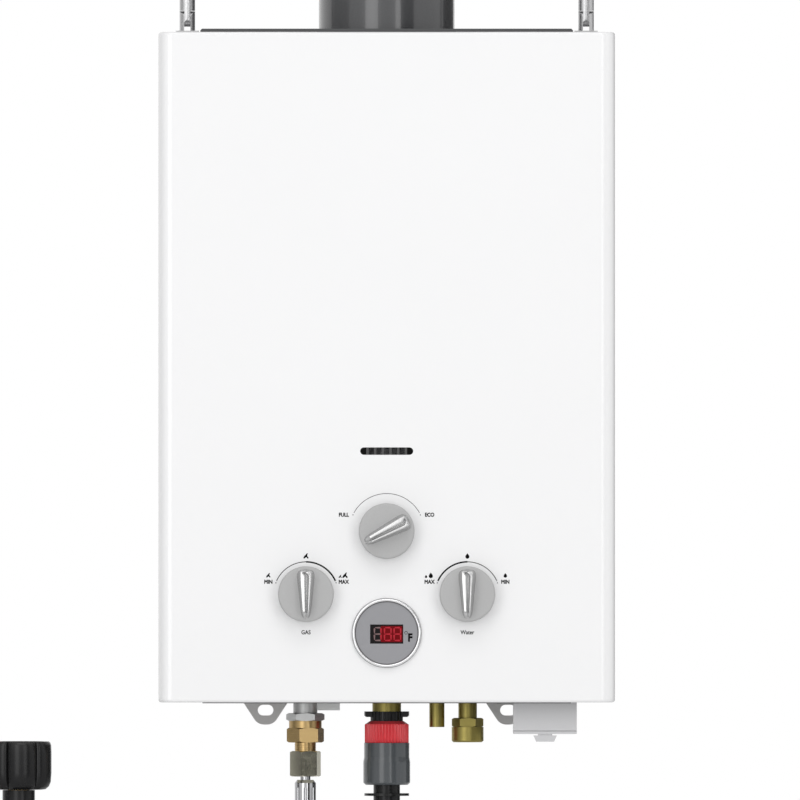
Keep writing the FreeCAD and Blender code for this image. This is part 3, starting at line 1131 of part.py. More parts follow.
stops = [coil_point(index / 4) for index in range(QUARTERS + 1)]
headings = [coil_heading(index / 4) for index in range(QUARTERS + 1)]
headings[0], headings[-1] = Vector(0, 0, -1), Vector(0, 0, 1)
edges = [Part.LineSegment(coil_in, stops[0]).toShape()]
for index in range(QUARTERS):
    edges += biarc(stops[index], headings[index], stops[index + 1], headings[index + 1])
edges.append(Part.LineSegment(stops[-1], coil_out).toShape())
piece("gas_hose_coil", sweep("gas_hose_coil", edges, wire, [coil_radius]))
samples = [edge.valueAt(edge.FirstParameter + (edge.LastParameter - edge.FirstParameter) * step / 12)
           for edge in edges[1:-1] for step in range(12)]
gap = min((samples[i] - samples[j]).Length
          for i in range(len(samples)) for j in range(i + 40, len(samples))) - 2 * wire
print(f"coil: least gap to itself {gap:.2f}")

# A strap ties the two upper strands of the coil.
tie_clear = number("fit") + 0.1
tie_y = start.y - pitch * 1.25
tie_solid = None
for reach, width in ((wire + tie_clear + number("tie_thick"), number("tie_width")),
                     (wire + tie_clear, number("tie_width") + 2)):
    across = ring_x - width / 2
    part = Part.makeBox(width, pitch, 2 * reach,
                        Vector(across, tie_y - pitch / 2, ring_z + coil_radius - reach))
    for sign in (-1, 1):
        part = part.fuse(Part.makeCylinder(reach, width, Vector(across, tie_y + sign * pitch / 2,
                                                                ring_z + coil_radius), Vector(1, 0, 0)))
    tie_solid = part.removeSplitter() if tie_solid is None else tie_solid.cut(part.removeSplitter())
tie = doc.addObject("Part::Feature", "coil_tie")
tie.Shape = tie_solid
piece("coil_tie", tie)

# The regulator: a round bowl with a vent cap, its hose socket below and its tank nut above.
far = f"(-row_depth - {QUARTERS / 4} * coil_pitch)"
bowl_body = turned("regulator_bowl", [
    ("0", "-regulator_thick / 2"), ("regulator_radius * 0.55", "-regulator_thick / 2"),
    ("regulator_radius * 0.8", "-regulator_thick / 5"), ("regulator_radius * 0.93", "-regulator_thick / 5"),
    ("regulator_radius", "-regulator_thick / 8"), ("regulator_radius", "regulator_thick / 8"),
    ("regulator_radius * 0.93", "regulator_thick / 5"), ("regulator_radius * 0.8", "regulator_thick / 5"),
    ("regulator_radius * 0.62", "regulator_thick / 2"), ("0", "regulator_thick / 2")],
    ("-tank_nut_side", far, bowl), FACE_FORWARD)
neck = rod("regulator_neck", "tank_neck_radius", "tank_neck_height + regulator_radius / 2",
           ("-tank_nut_side", far, f"{nut_low} - fit - tank_neck_height - regulator_radius / 2"))
socket = rod("regulator_socket", "barb_radius", "barb_length + regulator_radius / 2",
             ("-tank_nut_side", far, socket_low))
piece("regulator_body", fuse("regulator_joined", [bowl_body, neck, socket]))
piece("regulator_cap", turned("regulator_cap", [
    ("0", "0"), ("vent_cap_radius", "0"), ("vent_cap_radius", "vent_cap_thick - 1"),
    ("vent_cap_radius - 1", "vent_cap_thick"), ("0", "vent_cap_thick")],
    ("-tank_nut_side", f"{far} - regulator_thick / 2", bowl), FACE_FORWARD))
floor = "(tank_nut_height / 7)"
piece("tank_nut", ribbed("tank_nut", [
    ("nipple_radius + running", "0"), ("tank_nut_radius - tank_lobe - 2", "0"),
    ("tank_nut_radius - tank_lobe", "2"), ("tank_nut_radius - tank_lobe", "tank_nut_height - 1"),
    ("tank_nut_radius - tank_lobe - 1", "tank_nut_height"),
    ("tank_bore", "tank_nut_height"), ("tank_bore", floor), ("nipple_radius + running", floor)],
    "tank_nut_radius", "tank_lobe", ("2.2", "tank_nut_height - 1.2"), "tank_nut_lobes",
    ("-tank_nut_side", far, nut_low)))
piece("tank_nipple", turned("tank_nipple", [
    ("nipple_radius / 2", "-fit"), ("nipple_radius", "-fit"), ("nipple_radius", f"{floor} + fit"),
    ("nipple_radius + 3", f"{floor} + fit"), ("nipple_radius + 3", f"{floor} + 3"),
    ("nipple_radius + 1", f"{floor} + 5"), ("nipple_radius + 1", "tank_nut_height / 2"),
    ("nipple_radius / 2 + 1", "tank_nut_height - 6"), ("nipple_radius / 2", "tank_nut_height - 6")],
    ("-tank_nut_side", far, nut_low)))

doc.recompute()
for feature in doc.Objects:
    if {"Invalid", "Error"} & set(feature.State):
        raise RuntimeError(f"{feature.Name}: {feature.State}")
for name, feature in pieces.items():
    if feature.Shape.isNull() or not feature.Shape.isValid() or not feature.Shape.Solids:
        raise RuntimeError(f"{name}: no valid shape")
    if len(feature.Shape.Solids) != 1:
        raise RuntimeError(f"{name}: {len(feature.Shape.Solids)} solids")

os.makedirs("parts", exist_ok=True)
for name, feature in pieces.items():
    feature.Shape.exportStep(f"parts/{name}.step")
print(f"{len(pieces)} pieces written")
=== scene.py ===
"""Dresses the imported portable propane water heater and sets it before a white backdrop.

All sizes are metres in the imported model's frame: X to the right, Y from the front to the wall,
Z up. Angles are degrees.
"""

from __future__ import annotations

import json
import logging
from dataclasses import dataclass
from enum import Enum
from math import atan2, copysign, cos, exp, hypot, pi, radians, sin

import bmesh
import bpy
from mathutils import Matrix, Vector

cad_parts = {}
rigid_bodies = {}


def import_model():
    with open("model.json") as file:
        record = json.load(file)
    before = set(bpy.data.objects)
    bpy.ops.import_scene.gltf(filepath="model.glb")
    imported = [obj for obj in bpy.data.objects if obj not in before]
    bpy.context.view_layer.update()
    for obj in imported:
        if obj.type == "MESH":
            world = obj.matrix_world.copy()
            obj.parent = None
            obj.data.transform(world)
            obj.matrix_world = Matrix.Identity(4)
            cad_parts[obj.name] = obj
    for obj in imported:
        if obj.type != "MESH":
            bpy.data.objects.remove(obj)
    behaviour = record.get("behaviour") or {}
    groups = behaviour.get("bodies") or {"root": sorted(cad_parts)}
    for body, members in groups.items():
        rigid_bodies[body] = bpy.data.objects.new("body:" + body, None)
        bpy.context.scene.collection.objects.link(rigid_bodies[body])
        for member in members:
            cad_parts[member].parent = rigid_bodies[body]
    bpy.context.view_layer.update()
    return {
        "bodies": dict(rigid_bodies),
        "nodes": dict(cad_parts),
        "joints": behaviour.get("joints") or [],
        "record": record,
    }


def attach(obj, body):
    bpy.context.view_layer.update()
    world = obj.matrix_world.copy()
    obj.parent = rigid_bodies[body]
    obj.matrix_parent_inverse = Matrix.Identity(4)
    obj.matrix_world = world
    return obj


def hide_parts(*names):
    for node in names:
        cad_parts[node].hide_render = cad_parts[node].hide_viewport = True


LOG = logging.getLogger("water_heater")
Mesh = bmesh.types.BMesh
Tree = bpy.types.NodeTree
Node = bpy.types.Node
Socket = bpy.types.NodeSocket
Point = tuple[float, float, float]
Pair = tuple[float, float]

ORIGIN, FORWARD, UP = (0.0, 0.0, 0.0), (0.0, -1.0, 0.0), (0.0, 0.0, 1.0)
CASE_FRONT = -0.13
ROW = -0.06
SMOOTH_BELOW = radians(35)
SAME_POINT, SAME_SEAM = 1e-7, 1e-6


class Mark(Enum):
    """The printed sign over a mark of a dial's scale."""

    FLAME = "flame"
    DROP = "drop"


def node(tree: Tree, kind: str, links: dict | None = None, **settings: object) -> Node:
    """Add a node, set its fields and join or fill its inputs.

    Args:
        tree: The node tree.
        kind: The node's type without its ShaderNode prefix.
        links: Input name or number, with the output that feeds it or its plain value.
        settings: The node's own fields.

    Returns:
        The new node.
    """
    made = tree.nodes.new(kind if kind.startswith("Node") else "ShaderNode" + kind)
    for key, value in settings.items():
        setattr(made, key, value)
    for key, value in (links or {}).items():
        if isinstance(value, Socket):
            tree.links.new(value, made.inputs[key])
        else:
            made.inputs[key].default_value = value
    return made


def maths(tree: Tree, operation: str, *values: Socket | float, clamp: bool = False) -> Socket:
    """Add a Math node.

    Args:
        tree: The node tree.
        operation: What it does.
        values: Its inputs.
        clamp: Whether its result is kept between 0 and 1.

    Returns:
        Its result.
    """
    made = node(tree, "Math", dict(enumerate(values)), operation=operation, use_clamp=clamp)
    return made.outputs[0]


def noise(tree: Tree, place: Socket, scale: Socket | float, detail: float) -> Socket:
    """Add a noise texture.

    Args:
        tree: The node tree.
        place: The coordinates.
        scale: How fine it is.
        detail: How many finer layers it has.

    Returns:
        Its value, around 0.5.
    """
    made = node(tree, "TexNoise", {"Vector": place, "Scale": scale, "Detail": detail})
    return made.outputs["Fac"]


def blend(tree: Tree, share: Socket, first: Socket, second: Socket | tuple) -> Socket:
    """Blend two colours.

    Args:
        tree: The node tree.
        share: How much of the second colour goes in, from 0 to 1.
        first: The first colour.
        second: The second colour.

    Returns:
        The blended colour.
    """
    return node(tree, "Mix", {0: share, 6: first, 7: second}, data_type="RGBA").outputs[2]


def started_group(name: str, inputs: dict[str, float | tuple],
                  outputs: dict[str, str]) -> tuple[Tree, Node, Node, Socket]:
    """Start a shader node group with its sockets and the object's own coordinates.

    Args:
        name: The group's name.
        inputs: Name and default value: a number, a vector of three or a colour of four.
        outputs: Name and kind: Float, Vector or Color.

    Returns:
        The group, its input node, its output node and the Object coordinates.
    """
    group = bpy.data.node_groups.new(name, "ShaderNodeTree")
    sockets = group.interface
    for label, value in inputs.items():
        kind = {3: "Vector", 4: "Color"}[len(value)] if isinstance(value, tuple) else "Float"
        made = sockets.new_socket(name=label, in_out="INPUT", socket_type="NodeSocket" + kind)
        made.default_value = value
    for label, kind in outputs.items():
        sockets.new_socket(name=label, in_out="OUTPUT", socket_type="NodeSocket" + kind)
    entry, leave = node(group, "NodeGroupInput"), node(group, "NodeGroupOutput")
    return group, entry, leave, node(group, "TexCoord").outputs["Object"]


def tone_group() -> Tree:
    """Make the group that varies a colour in broad soft patches and fine specks."""
    group, entry, leave, place = started_group("tone", {
        "Colour": (0.8, 0.8, 0.8, 1.0), "Patches": 0.03, "Patch Scale": 9.0, "Specks": 0.02,
        "Speck Scale": 900.0}, {"Colour": "Color"})
    given = entry.outputs
    swings = []
    for amount, scale, detail in (("Patches", "Patch Scale", 3.0), ("Specks", "Speck Scale", 1.0)):
        centred = maths(group, "SUBTRACT", noise(group, place, given[scale], detail), 0.5)
        swings.append(maths(group, "MULTIPLY", centred, given[amount]))
    factor = maths(group, "MULTIPLY_ADD", maths(group, "ADD", *swings), 2.0, 1.0)
    toned = node(group, "VectorMath", {0: given["Colour"], "Scale": factor}, operation="SCALE")
    group.links.new(toned.outputs[0], leave.inputs["Colour"])
    return group


def feel_group() -> Tree:
    """Make the group for a surface's uneven gloss and its fine relief."""
    group, entry, leave, place = started_group("feel", {
        "Roughness": 0.4, "Spread": 0.1, "Smudge Scale": 25.0, "Grain Scale": 1200.0,
        "Grain Height": 0.1, "Grain Depth": 0.00005}, {"Roughness": "Float", "Normal": "Vector"})
    given = entry.outputs
    centred = maths(group, "SUBTRACT", noise(group, place, given["Smudge Scale"], 4.0), 0.5)
    rough = maths(group, "MULTIPLY_ADD", centred, given["Spread"], given["Roughness"], clamp=True)
    grain = noise(group, place, given["Grain Scale"], 2.0)
    relief = node(group, "Bump", {"Height": grain, "Strength": given["Grain Height"],
                                  "Distance": given["Grain Depth"]})
    group.links.new(rough, leave.inputs["Roughness"])
    group.links.new(relief.outputs["Normal"], leave.inputs["Normal"])
    return group


def streak_group() -> Tree:
    """Make the group of drawn or turned lines, which run along the axis of least stretch."""
    group, entry, leave, place = started_group("streaks", {"Stretch": (900.0, 900.0, 12.0)},
                                               {"Mask": "Float"})
    scaled = node(group, "VectorMath", {0: place, 1: entry.outputs["Stretch"]},
                  operation="MULTIPLY")
    group.links.new(noise(group, scaled.outputs[0], 1.0, 2.0), leave.inputs["Mask"])
    return group


def dust_group() -> Tree:
    """Make the group of settled dust: more on faces that look up."""
    group, entry, leave, place = started_group("dust", {"Amount": 0.1}, {"Mask": "Float"})
    facing = node(group, "NewGeometry").outputs["Normal"]
    upward = maths(group, "MAXIMUM", node(group, "SeparateXYZ", {0: facing}).outputs["Z"], 0.0)
    grown = maths(group, "MULTIPLY", noise(group, place, 140.0, 5.0), upward)
    mask = maths(group, "MULTIPLY", grown, entry.outputs["Amount"])
    group.links.new(mask, leave.inputs["Mask"])
    return group


@dataclass(frozen=True)
class Finish:
    """A surface finish: its colour and gloss, and how far each shared effect goes on it."""

    name: str
    colour: Point
    roughness: float = 0.4
    metallic: float = 0.0
    coat: float = 0.0
    patches: float = 0.03
    specks: float = 0.02
    speck_scale: float = 900.0
    spread: float = 0.1
    smudge_scale: float = 25.0
    grain_scale: float = 1200.0
    grain_height: float = 0.06
    dust: float = 0.08
    dust_colour: Point = (0.55, 0.53, 0.5)
    stretch: Point | None = None
    streak: float = 0.0
    streak_shade: float = 0.72
    glow: float = 0.0
    shine: float = 0.5

    def make(self, effects: dict[str, Tree]) -> bpy.types.Material:
        """Build the material.

        Args:
            effects: The shared node groups by name.

        Returns:
            The material with a Principled shader.
        """
        made = bpy.data.materials.new(self.name)
        made.use_nodes = True
        own = (*self.colour, 1.0)
        made.diffuse_color = own
        tree = made.node_tree
        inputs = tree.nodes["Principled BSDF"].inputs
        tone = node(tree, "Group", {
            "Colour": own, "Patches": self.patches, "Specks": self.specks,
            "Speck Scale": self.speck_scale}, node_tree=effects["tone"])
        feel = node(tree, "Group", {
            "Roughness": self.roughness, "Spread": self.spread, "Smudge Scale": self.smudge_scale,
            "Grain Scale": self.grain_scale, "Grain Height": self.grain_height},
                    node_tree=effects["feel"])
        colour, rough = tone.outputs["Colour"], feel.outputs["Roughness"]
        if self.stretch:
            lines = node(tree, "Group", {"Stretch": self.stretch},
                         node_tree=effects["streaks"]).outputs["Mask"]
            darker = node(tree, "VectorMath", {0: colour, "Scale": self.streak_shade},
                          operation="SCALE").outputs[0]
            colour = blend(tree, maths(tree, "MULTIPLY", lines, self.streak), colour, darker)
            rough = maths(tree, "MULTIPLY_ADD", lines, self.streak, rough)
        if self.dust:
            settled = node(tree, "Group", {"Amount": self.dust}, node_tree=effects["dust"])
            colour = blend(tree, settled.outputs["Mask"], colour, (*self.dust_colour, 1.0))
        tree.links.new(colour, inputs["Base Color"])
        tree.links.new(rough, inputs["Roughness"])
        tree.links.new(feel.outputs["Normal"], inputs["Normal"])
        inputs["Metallic"].default_value = self.metallic
        inputs["Coat Weight"].default_value = self.coat
        inputs["Coat Roughness"].default_value = 0.06
        inputs["Specular IOR Level"].default_value = self.shine
        if self.glow:
            inputs["Emission Color"].default_value = own
            inputs["Emission Strength"].default_value = self.glow
        return made


ALONG_Z, ALONG_X = (900.0, 900.0, 14.0), (14.0, 900.0, 900.0)
TURNED = (60.0, 60.0, 2600.0)
METAL = {"metallic": 1.0, "dust": 0.0, "stretch": TURNED}

FINISHES = (
    Finish("white_enamel", (0.86, 0.86, 0.865), 0.24, coat=0.5, patches=0.008, specks=0.004,
           spread=0.05, smudge_scale=6.0, grain_scale=420.0, grain_height=0.03, dust=0.02),
    Finish("zinc_sheet", (0.3, 0.3, 0.31), 0.42, metallic=1.0, patches=0.16, spread=0.2,
           smudge_scale=60.0, stretch=ALONG_Z, streak=0.3),
    Finish("lug_grey", (0.66, 0.655, 0.65), 0.45, patches=0.04, spread=0.12, coat=0.2),
    # bottom panel in near black as painted shade: it stands in for the dark shaded line under the
    # case
    Finish("painted_shade_panel", (0.08, 0.08, 0.083), 0.45, metallic=0.4, patches=0.1, spread=0.15),
    Finish("dark_enamel", (0.052, 0.053, 0.056), 0.22, coat=0.6, patches=0.06, specks=0.08,
           spread=0.08, grain_scale=500.0, grain_height=0.08, dust=0.05),
    Finish("stainless", (0.58, 0.58, 0.585), 0.34, spread=0.08, streak=0.12, **METAL),
    Finish("knob_disc", (0.42, 0.42, 0.42), 0.5, patches=0.02, specks=0.06, speck_scale=2600.0,
           grain_scale=2400.0, grain_height=0.12, dust=0.03),
    Finish("knob_ridge", (0.56, 0.56, 0.56), 0.27, metallic=0.85, patches=0.02, spread=0.04,
           grain_height=0.01, dust=0.0),
    Finish("display_grey", (0.275, 0.275, 0.29), 0.34, specks=0.05, coat=0.15, speck_scale=2400.0,
           grain_height=0.08, dust=0.0),
    Finish("lens_black", (0.008, 0.007, 0.007), 0.15, shine=0.12, dust=0.0, specks=0.0),
    Finish("segment_lit", (0.34, 0.014, 0.024), glow=0.3, shine=0.15, dust=0.0, patches=0.02),
    Finish("segment_halo", (0.12, 0.001, 0.003), glow=0.25, shine=0.08, dust=0.0, patches=0.02),
    Finish("segment_dim", (0.2, 0.13, 0.13), shine=0.1, dust=0.0),
    Finish("print_black", (0.003, 0.003, 0.003), 0.7, shine=0.04, dust=0.0, patches=0.05),
    Finish("bar_grey", (0.075, 0.075, 0.075), 0.5, shine=0.2, dust=0.0, patches=0.05),
    Finish("chromed", (0.82, 0.82, 0.83), 0.09, metallic=1.0, patches=0.02, spread=0.05, dust=0.0),
    Finish("light_plastic", (0.62, 0.62, 0.63), patches=0.015, grain_height=0.1),
    Finish("black_plastic", (0.006, 0.006, 0.0065), 0.28, shine=0.28, specks=0.1,
           grain_height=0.12),
    Finish("window_black", (0.004, 0.004, 0.004), 0.5, shine=0.05, dust=0.0),
    Finish("red_plastic", (0.82, 0.05, 0.065), 0.2, patches=0.02, coat=0.25),
    Finish("slate_plastic", (0.072, 0.08, 0.087), 0.2, specks=0.03, coat=0.25, shine=0.4),
    Finish("brass", (0.47, 0.33, 0.15), 0.2, patches=0.1, spread=0.14, streak=0.22, **METAL),
    Finish("dull_brass", (0.31, 0.26, 0.08), 0.25, patches=0.14, spread=0.2, streak=0.3, **METAL),
    Finish("nickel", (0.76, 0.73, 0.58), 0.1, metallic=1.0, patches=0.06, spread=0.08, dust=0.0,
           stretch=ALONG_X, streak=0.12),
    Finish("ferrule_steel", (0.44, 0.44, 0.45), 0.1, patches=0.04, streak=0.1, **METAL),
    Finish("steel_grey", (0.58, 0.585, 0.58), 0.3, metallic=0.9, patches=0.08, spread=0.15,
           dust=0.0, stretch=TURNED, streak=0.25),
    Finish("copper", (0.72, 0.3, 0.16), 0.3, metallic=1.0, patches=0.16, spread=0.2,
           stretch=ALONG_X, streak=0.3),
    Finish("zinc_cast", (0.4, 0.4, 0.42), 0.48, metallic=0.75, patches=0.1, specks=0.1,
           grain_scale=700.0, grain_height=0.35),
    Finish("hose_rubber", (0.016, 0.016, 0.017), 0.55, patches=0.08, specks=0.15, grain_height=0.3,
           grain_scale=800.0, dust=0.12),
    Finish("cell_wrap", (0.03, 0.09, 0.2), 0.3, coat=0.4, dust=0.0),
)

FINISHED_NODES = {
    "white_enamel": "front_cover",
    "lug_grey": "back_plate",
    # the bottom panel wears the painted shade finish, near black for the shaded line under the case
    "painted_shade_panel": "bottom_panel",
    "dark_enamel": "top_panel flue_plate flue rain_cap cap_straps",
    "window_black": "window_insert",
    "stainless": "handle hinge_fork_left hinge_fork_right hinge_pin_left hinge_pin_right",
    "knob_disc": "gas_knob water_knob season_knob",
    "steel_grey": "gas_shaft water_shaft season_shaft lid_hinge_pin gas_inlet_pipe "
                  "gas_inlet_collar burner_bars",
    "chromed": "display_bezel",
    "display_grey": "display_disc",
    "lens_black": "display_lens",
    "light_plastic": "battery_box battery_lid",
    "cell_wrap": "battery_cell_front battery_cell_rear",
    "brass": "gas_adaptor water_valve tank_nipple",
    "nickel": "hose_nut",
    "ferrule_steel": "hose_ferrule",
    "dull_brass": "outlet_stub drain_stub water_inlet_pipe water_inlet_union",
    "black_plastic": "tap_adaptor connector_tail coil_tie regulator_body regulator_cap tank_nut",
    "red_plastic": "quick_collar",
    "slate_plastic": "quick_sleeve",
    "zinc_sheet": "burner_frame draft_hood support_rail_left support_rail_right",
    "copper": "exchanger_shell exchanger_fins exchanger_pipe",
    "zinc_cast": "gas_valve gas_manifold",
    "hose_rubber": "gas_hose_upper gas_hose_lower gas_hose_coil",
}


class Workshop:
    """Holds the materials and turns meshes into finished pieces."""

    def __init__(self, frame: dict) -> None:
        """Make every finish and give the CAD nodes theirs.
        """
        groups = (tone_group(), feel_group(), streak_group(), dust_group())
        effects = {group.name: group for group in groups}
        self.paints = {finish.name: finish.make(effects) for finish in FINISHES}
        worn = {name: finish for finish, names in FINISHED_NODES.items()
                for name in names.split()}
        for name, shape in frame["nodes"].items():
            shape.data.materials.clear()
            shape.data.materials.append(self.paints[worn[name]])
        LOG.info("finished %d frame nodes", len(frame["nodes"]))

    def piece(self, name: str, mesh: Mesh, finish: str, body: str = "case",
              smooth: bool = True,
              stands_for: tuple[str, ...] = ()) -> None:
        """Turn a bmesh into a piece that rides on a body.

        Args:
            name: The piece's name.
            mesh: Its shape in the row frame; it is freed here.
            finish: The name of its finish.
            body: The CAD body it rides on.
            smooth: Whether its faces are shaded smooth, up to SMOOTH_BELOW.
            stands_for: CAD nodes that it replaces.
        """
        bmesh.ops.remove_doubles(mesh, verts=mesh.verts, dist=SAME_POINT)
        bmesh.ops.recalc_face_normals(mesh, faces=mesh.faces)
        for edge in mesh.edges:
            inner = len(edge.link_faces) == 2
            edge.smooth = not (inner and edge.calc_face_angle(0.0) > SMOOTH_BELOW)
        for face in mesh.faces:
            face.smooth = smooth
        data = bpy.data.meshes.new(name)
        mesh.to_mesh(data)
        mesh.free()
        data.materials.append(self.paints[finish])
        made = bpy.data.objects.new(name, data)
        bpy.context.collection.objects.link(made)
        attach(made, body)
        if stands_for:
            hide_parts(*stands_for)
        LOG.info("piece %s on %s", name, body)


def turned(profile: list[Pair], centre: Point, axis: Point, steps: int = 96) -> Mesh:
    """Spin a profile of (radius, height) points about an axis.

    Args:
        profile: The points, with heights along the axis.
        centre: The point of the axis at height 0.
        axis: The direction of the axis.
        steps: The number of sides.

    Returns:
        The turned mesh.
    """
    mesh = bmesh.new()
    middle, along = Vector(centre), Vector(axis).normalized()
    out = along.orthogonal().normalized()
    verts = [mesh.verts.new(middle + out * radius + along * height) for radius, height in profile]
    edges = [mesh.edges.new(pair) for pair in zip(verts, verts[1:])]
    bmesh.ops.spin(mesh, geom=verts + edges, cent=middle, axis=along, angle=2 * pi,
                   steps=steps, use_merge=True, use_duplicate=False)
    bmesh.ops.remove_doubles(mesh, verts=mesh.verts, dist=SAME_SEAM)
    return mesh


def turned_ring(inner: float, outer: float, height: float, centre: Point, steps: int = 96) -> Mesh:
    """Make a flat ring that faces the front.

    Args:
        inner: Its inner radius.
        outer: Its outer radius.
        height: Its height.
        centre: The middle of its back.
        steps: The number of sides.

    Returns:
        The ring.
    """
    return turned([(inner, 0.0), (outer, 0.0), (outer, height), (inner, height), (inner, 0.0)],
                  centre, FORWARD, steps)


def take_in(mesh: Mesh, other: Mesh) -> None:
    """Add another bmesh to a bmesh and free it.

    Args:
        mesh: The bmesh that grows.
        other: The bmesh that is taken in.
    """
    carried = bpy.data.meshes.new("carried")
    other.to_mesh(carried)
    other.free()
    mesh.from_mesh(carried)
    bpy.data.meshes.remove(carried)


def thicken(mesh: Mesh, height: float) -> None:
    """Raise all the faces of a flat bmesh along Z and leave its sides closed.

    Args:
        mesh: The flat bmesh.
        height: How far the faces rise.
    """
    raised = bmesh.ops.extrude_face_region(mesh, geom=list(mesh.faces))["geom"]
    tops = [part for part in raised if isinstance(part, bmesh.types.BMVert)]
    bmesh.ops.translate(mesh, verts=tops, vec=(0, 0, height))


def close_ends(mesh: Mesh, sides: int) -> None:
    """Fill the open ends of a swept bmesh.

    Args:
        mesh: The bmesh.
        sides: The largest number of sides of a hole, or 0 for any.
    """
    rim = [edge for edge in mesh.edges if edge.is_boundary]
    bmesh.ops.holes_fill(mesh, edges=rim, sides=sides)


def swept(profile: list[Point], axis: Point, turn: float, steps: int, rise: float = 0.0) -> Mesh:
    """Spin a closed profile part of a turn or along a helix about an axis through the origin.

    Args:
        profile: The corners of the profile.
        axis: The direction of the axis.
        turn: The angle in radians.
        steps: The number of steps.
        rise: How far it moves along Z in each step.

    Returns:
        The swept solid with closed ends.
    """
    mesh = bmesh.new()
    ring = [mesh.verts.new(corner) for corner in profile]
    edges = [mesh.edges.new(pair) for pair in zip(ring, ring[1:] + ring[:1])]
    bmesh.ops.spin(mesh, geom=ring + edges, cent=ORIGIN, axis=axis, angle=turn,
                   dvec=(0, 0, rise), steps=steps)
    close_ends(mesh, 4)
    return mesh


def fluted(outline: list[Point], bore: list[Pair], lobes: int, steps: int, sharpness: float,
           foot: Point, turn: float = 0.0) -> Mesh:
    """Make an upright turned solid whose outside has lobes or ribs all round.

    Args:
        outline: Radius, height and flute depth of each ring of the outside, from below.
        bore: Radius and height of the rings of the inside, from above.
        lobes: The number of lobes.
        steps: The number of sides of one lobe.
        sharpness: 1 for even waves; more makes the lobes narrower and less makes them broad.
        foot: The middle of its lower end.
        turn: How far it is turned.

    Returns:
        The upright mesh.
    """
    profile = [(radius, height) for radius, height, _ in outline] + bore
    depths = {(round(radius, 5), round(height, 5)): depth for radius, height, depth in outline}
    mesh = turned(profile + profile[:1], ORIGIN, UP, lobes * steps)
    for vert in mesh.verts:
        radius = hypot(vert.co.x, vert.co.y)
        depth = depths.get((round(radius, 5), round(vert.co.z, 5)), 0.0)
        wave = 0.5 + 0.5 * cos(lobes * atan2(vert.co.y, vert.co.x))
        shrink = 1 - depth * (1 - wave ** sharpness) / radius
        vert.co.x, vert.co.y = vert.co.x * shrink, vert.co.y * shrink
    place = Matrix.Translation(foot) @ Matrix.Rotation(radians(turn), 4, "Z")
    bmesh.ops.transform(mesh, matrix=place, verts=mesh.verts)
    return mesh


def eased(share: float) -> float:
    """Return a share from 0 to 1 with a soft start and end."""
    share = min(1.0, max(0.0, share))
    return share * share * (3 - 2 * share)


def facing_front(x: float, y: float, z: float) -> Matrix:
    """Return the matrix that stands a flat drawing up at a point, facing the front."""
    return Matrix.Translation((x, y, z)) @ Matrix.Rotation(radians(90), 4, "X")


class Part:
    """A part of the object that the scene dresses."""

    def build(self, shop: Workshop) -> None:
        """Make the part's pieces.

        Args:
            shop: The maker of pieces.
        """
        raise NotImplementedError


CAPITAL = 0.7
FLAME = ((0.34, 0.5), (0.24, 0.2), (0.22, 0.0), (0.42, -0.22), (0.44, -0.46), (0.22, -0.44),
         (0.07, -0.2), (-0.14, -0.34), (-0.34, -0.5), (-0.48, -0.36), (-0.32, -0.02),
         (-0.04, 0.26), (0.12, 0.46))


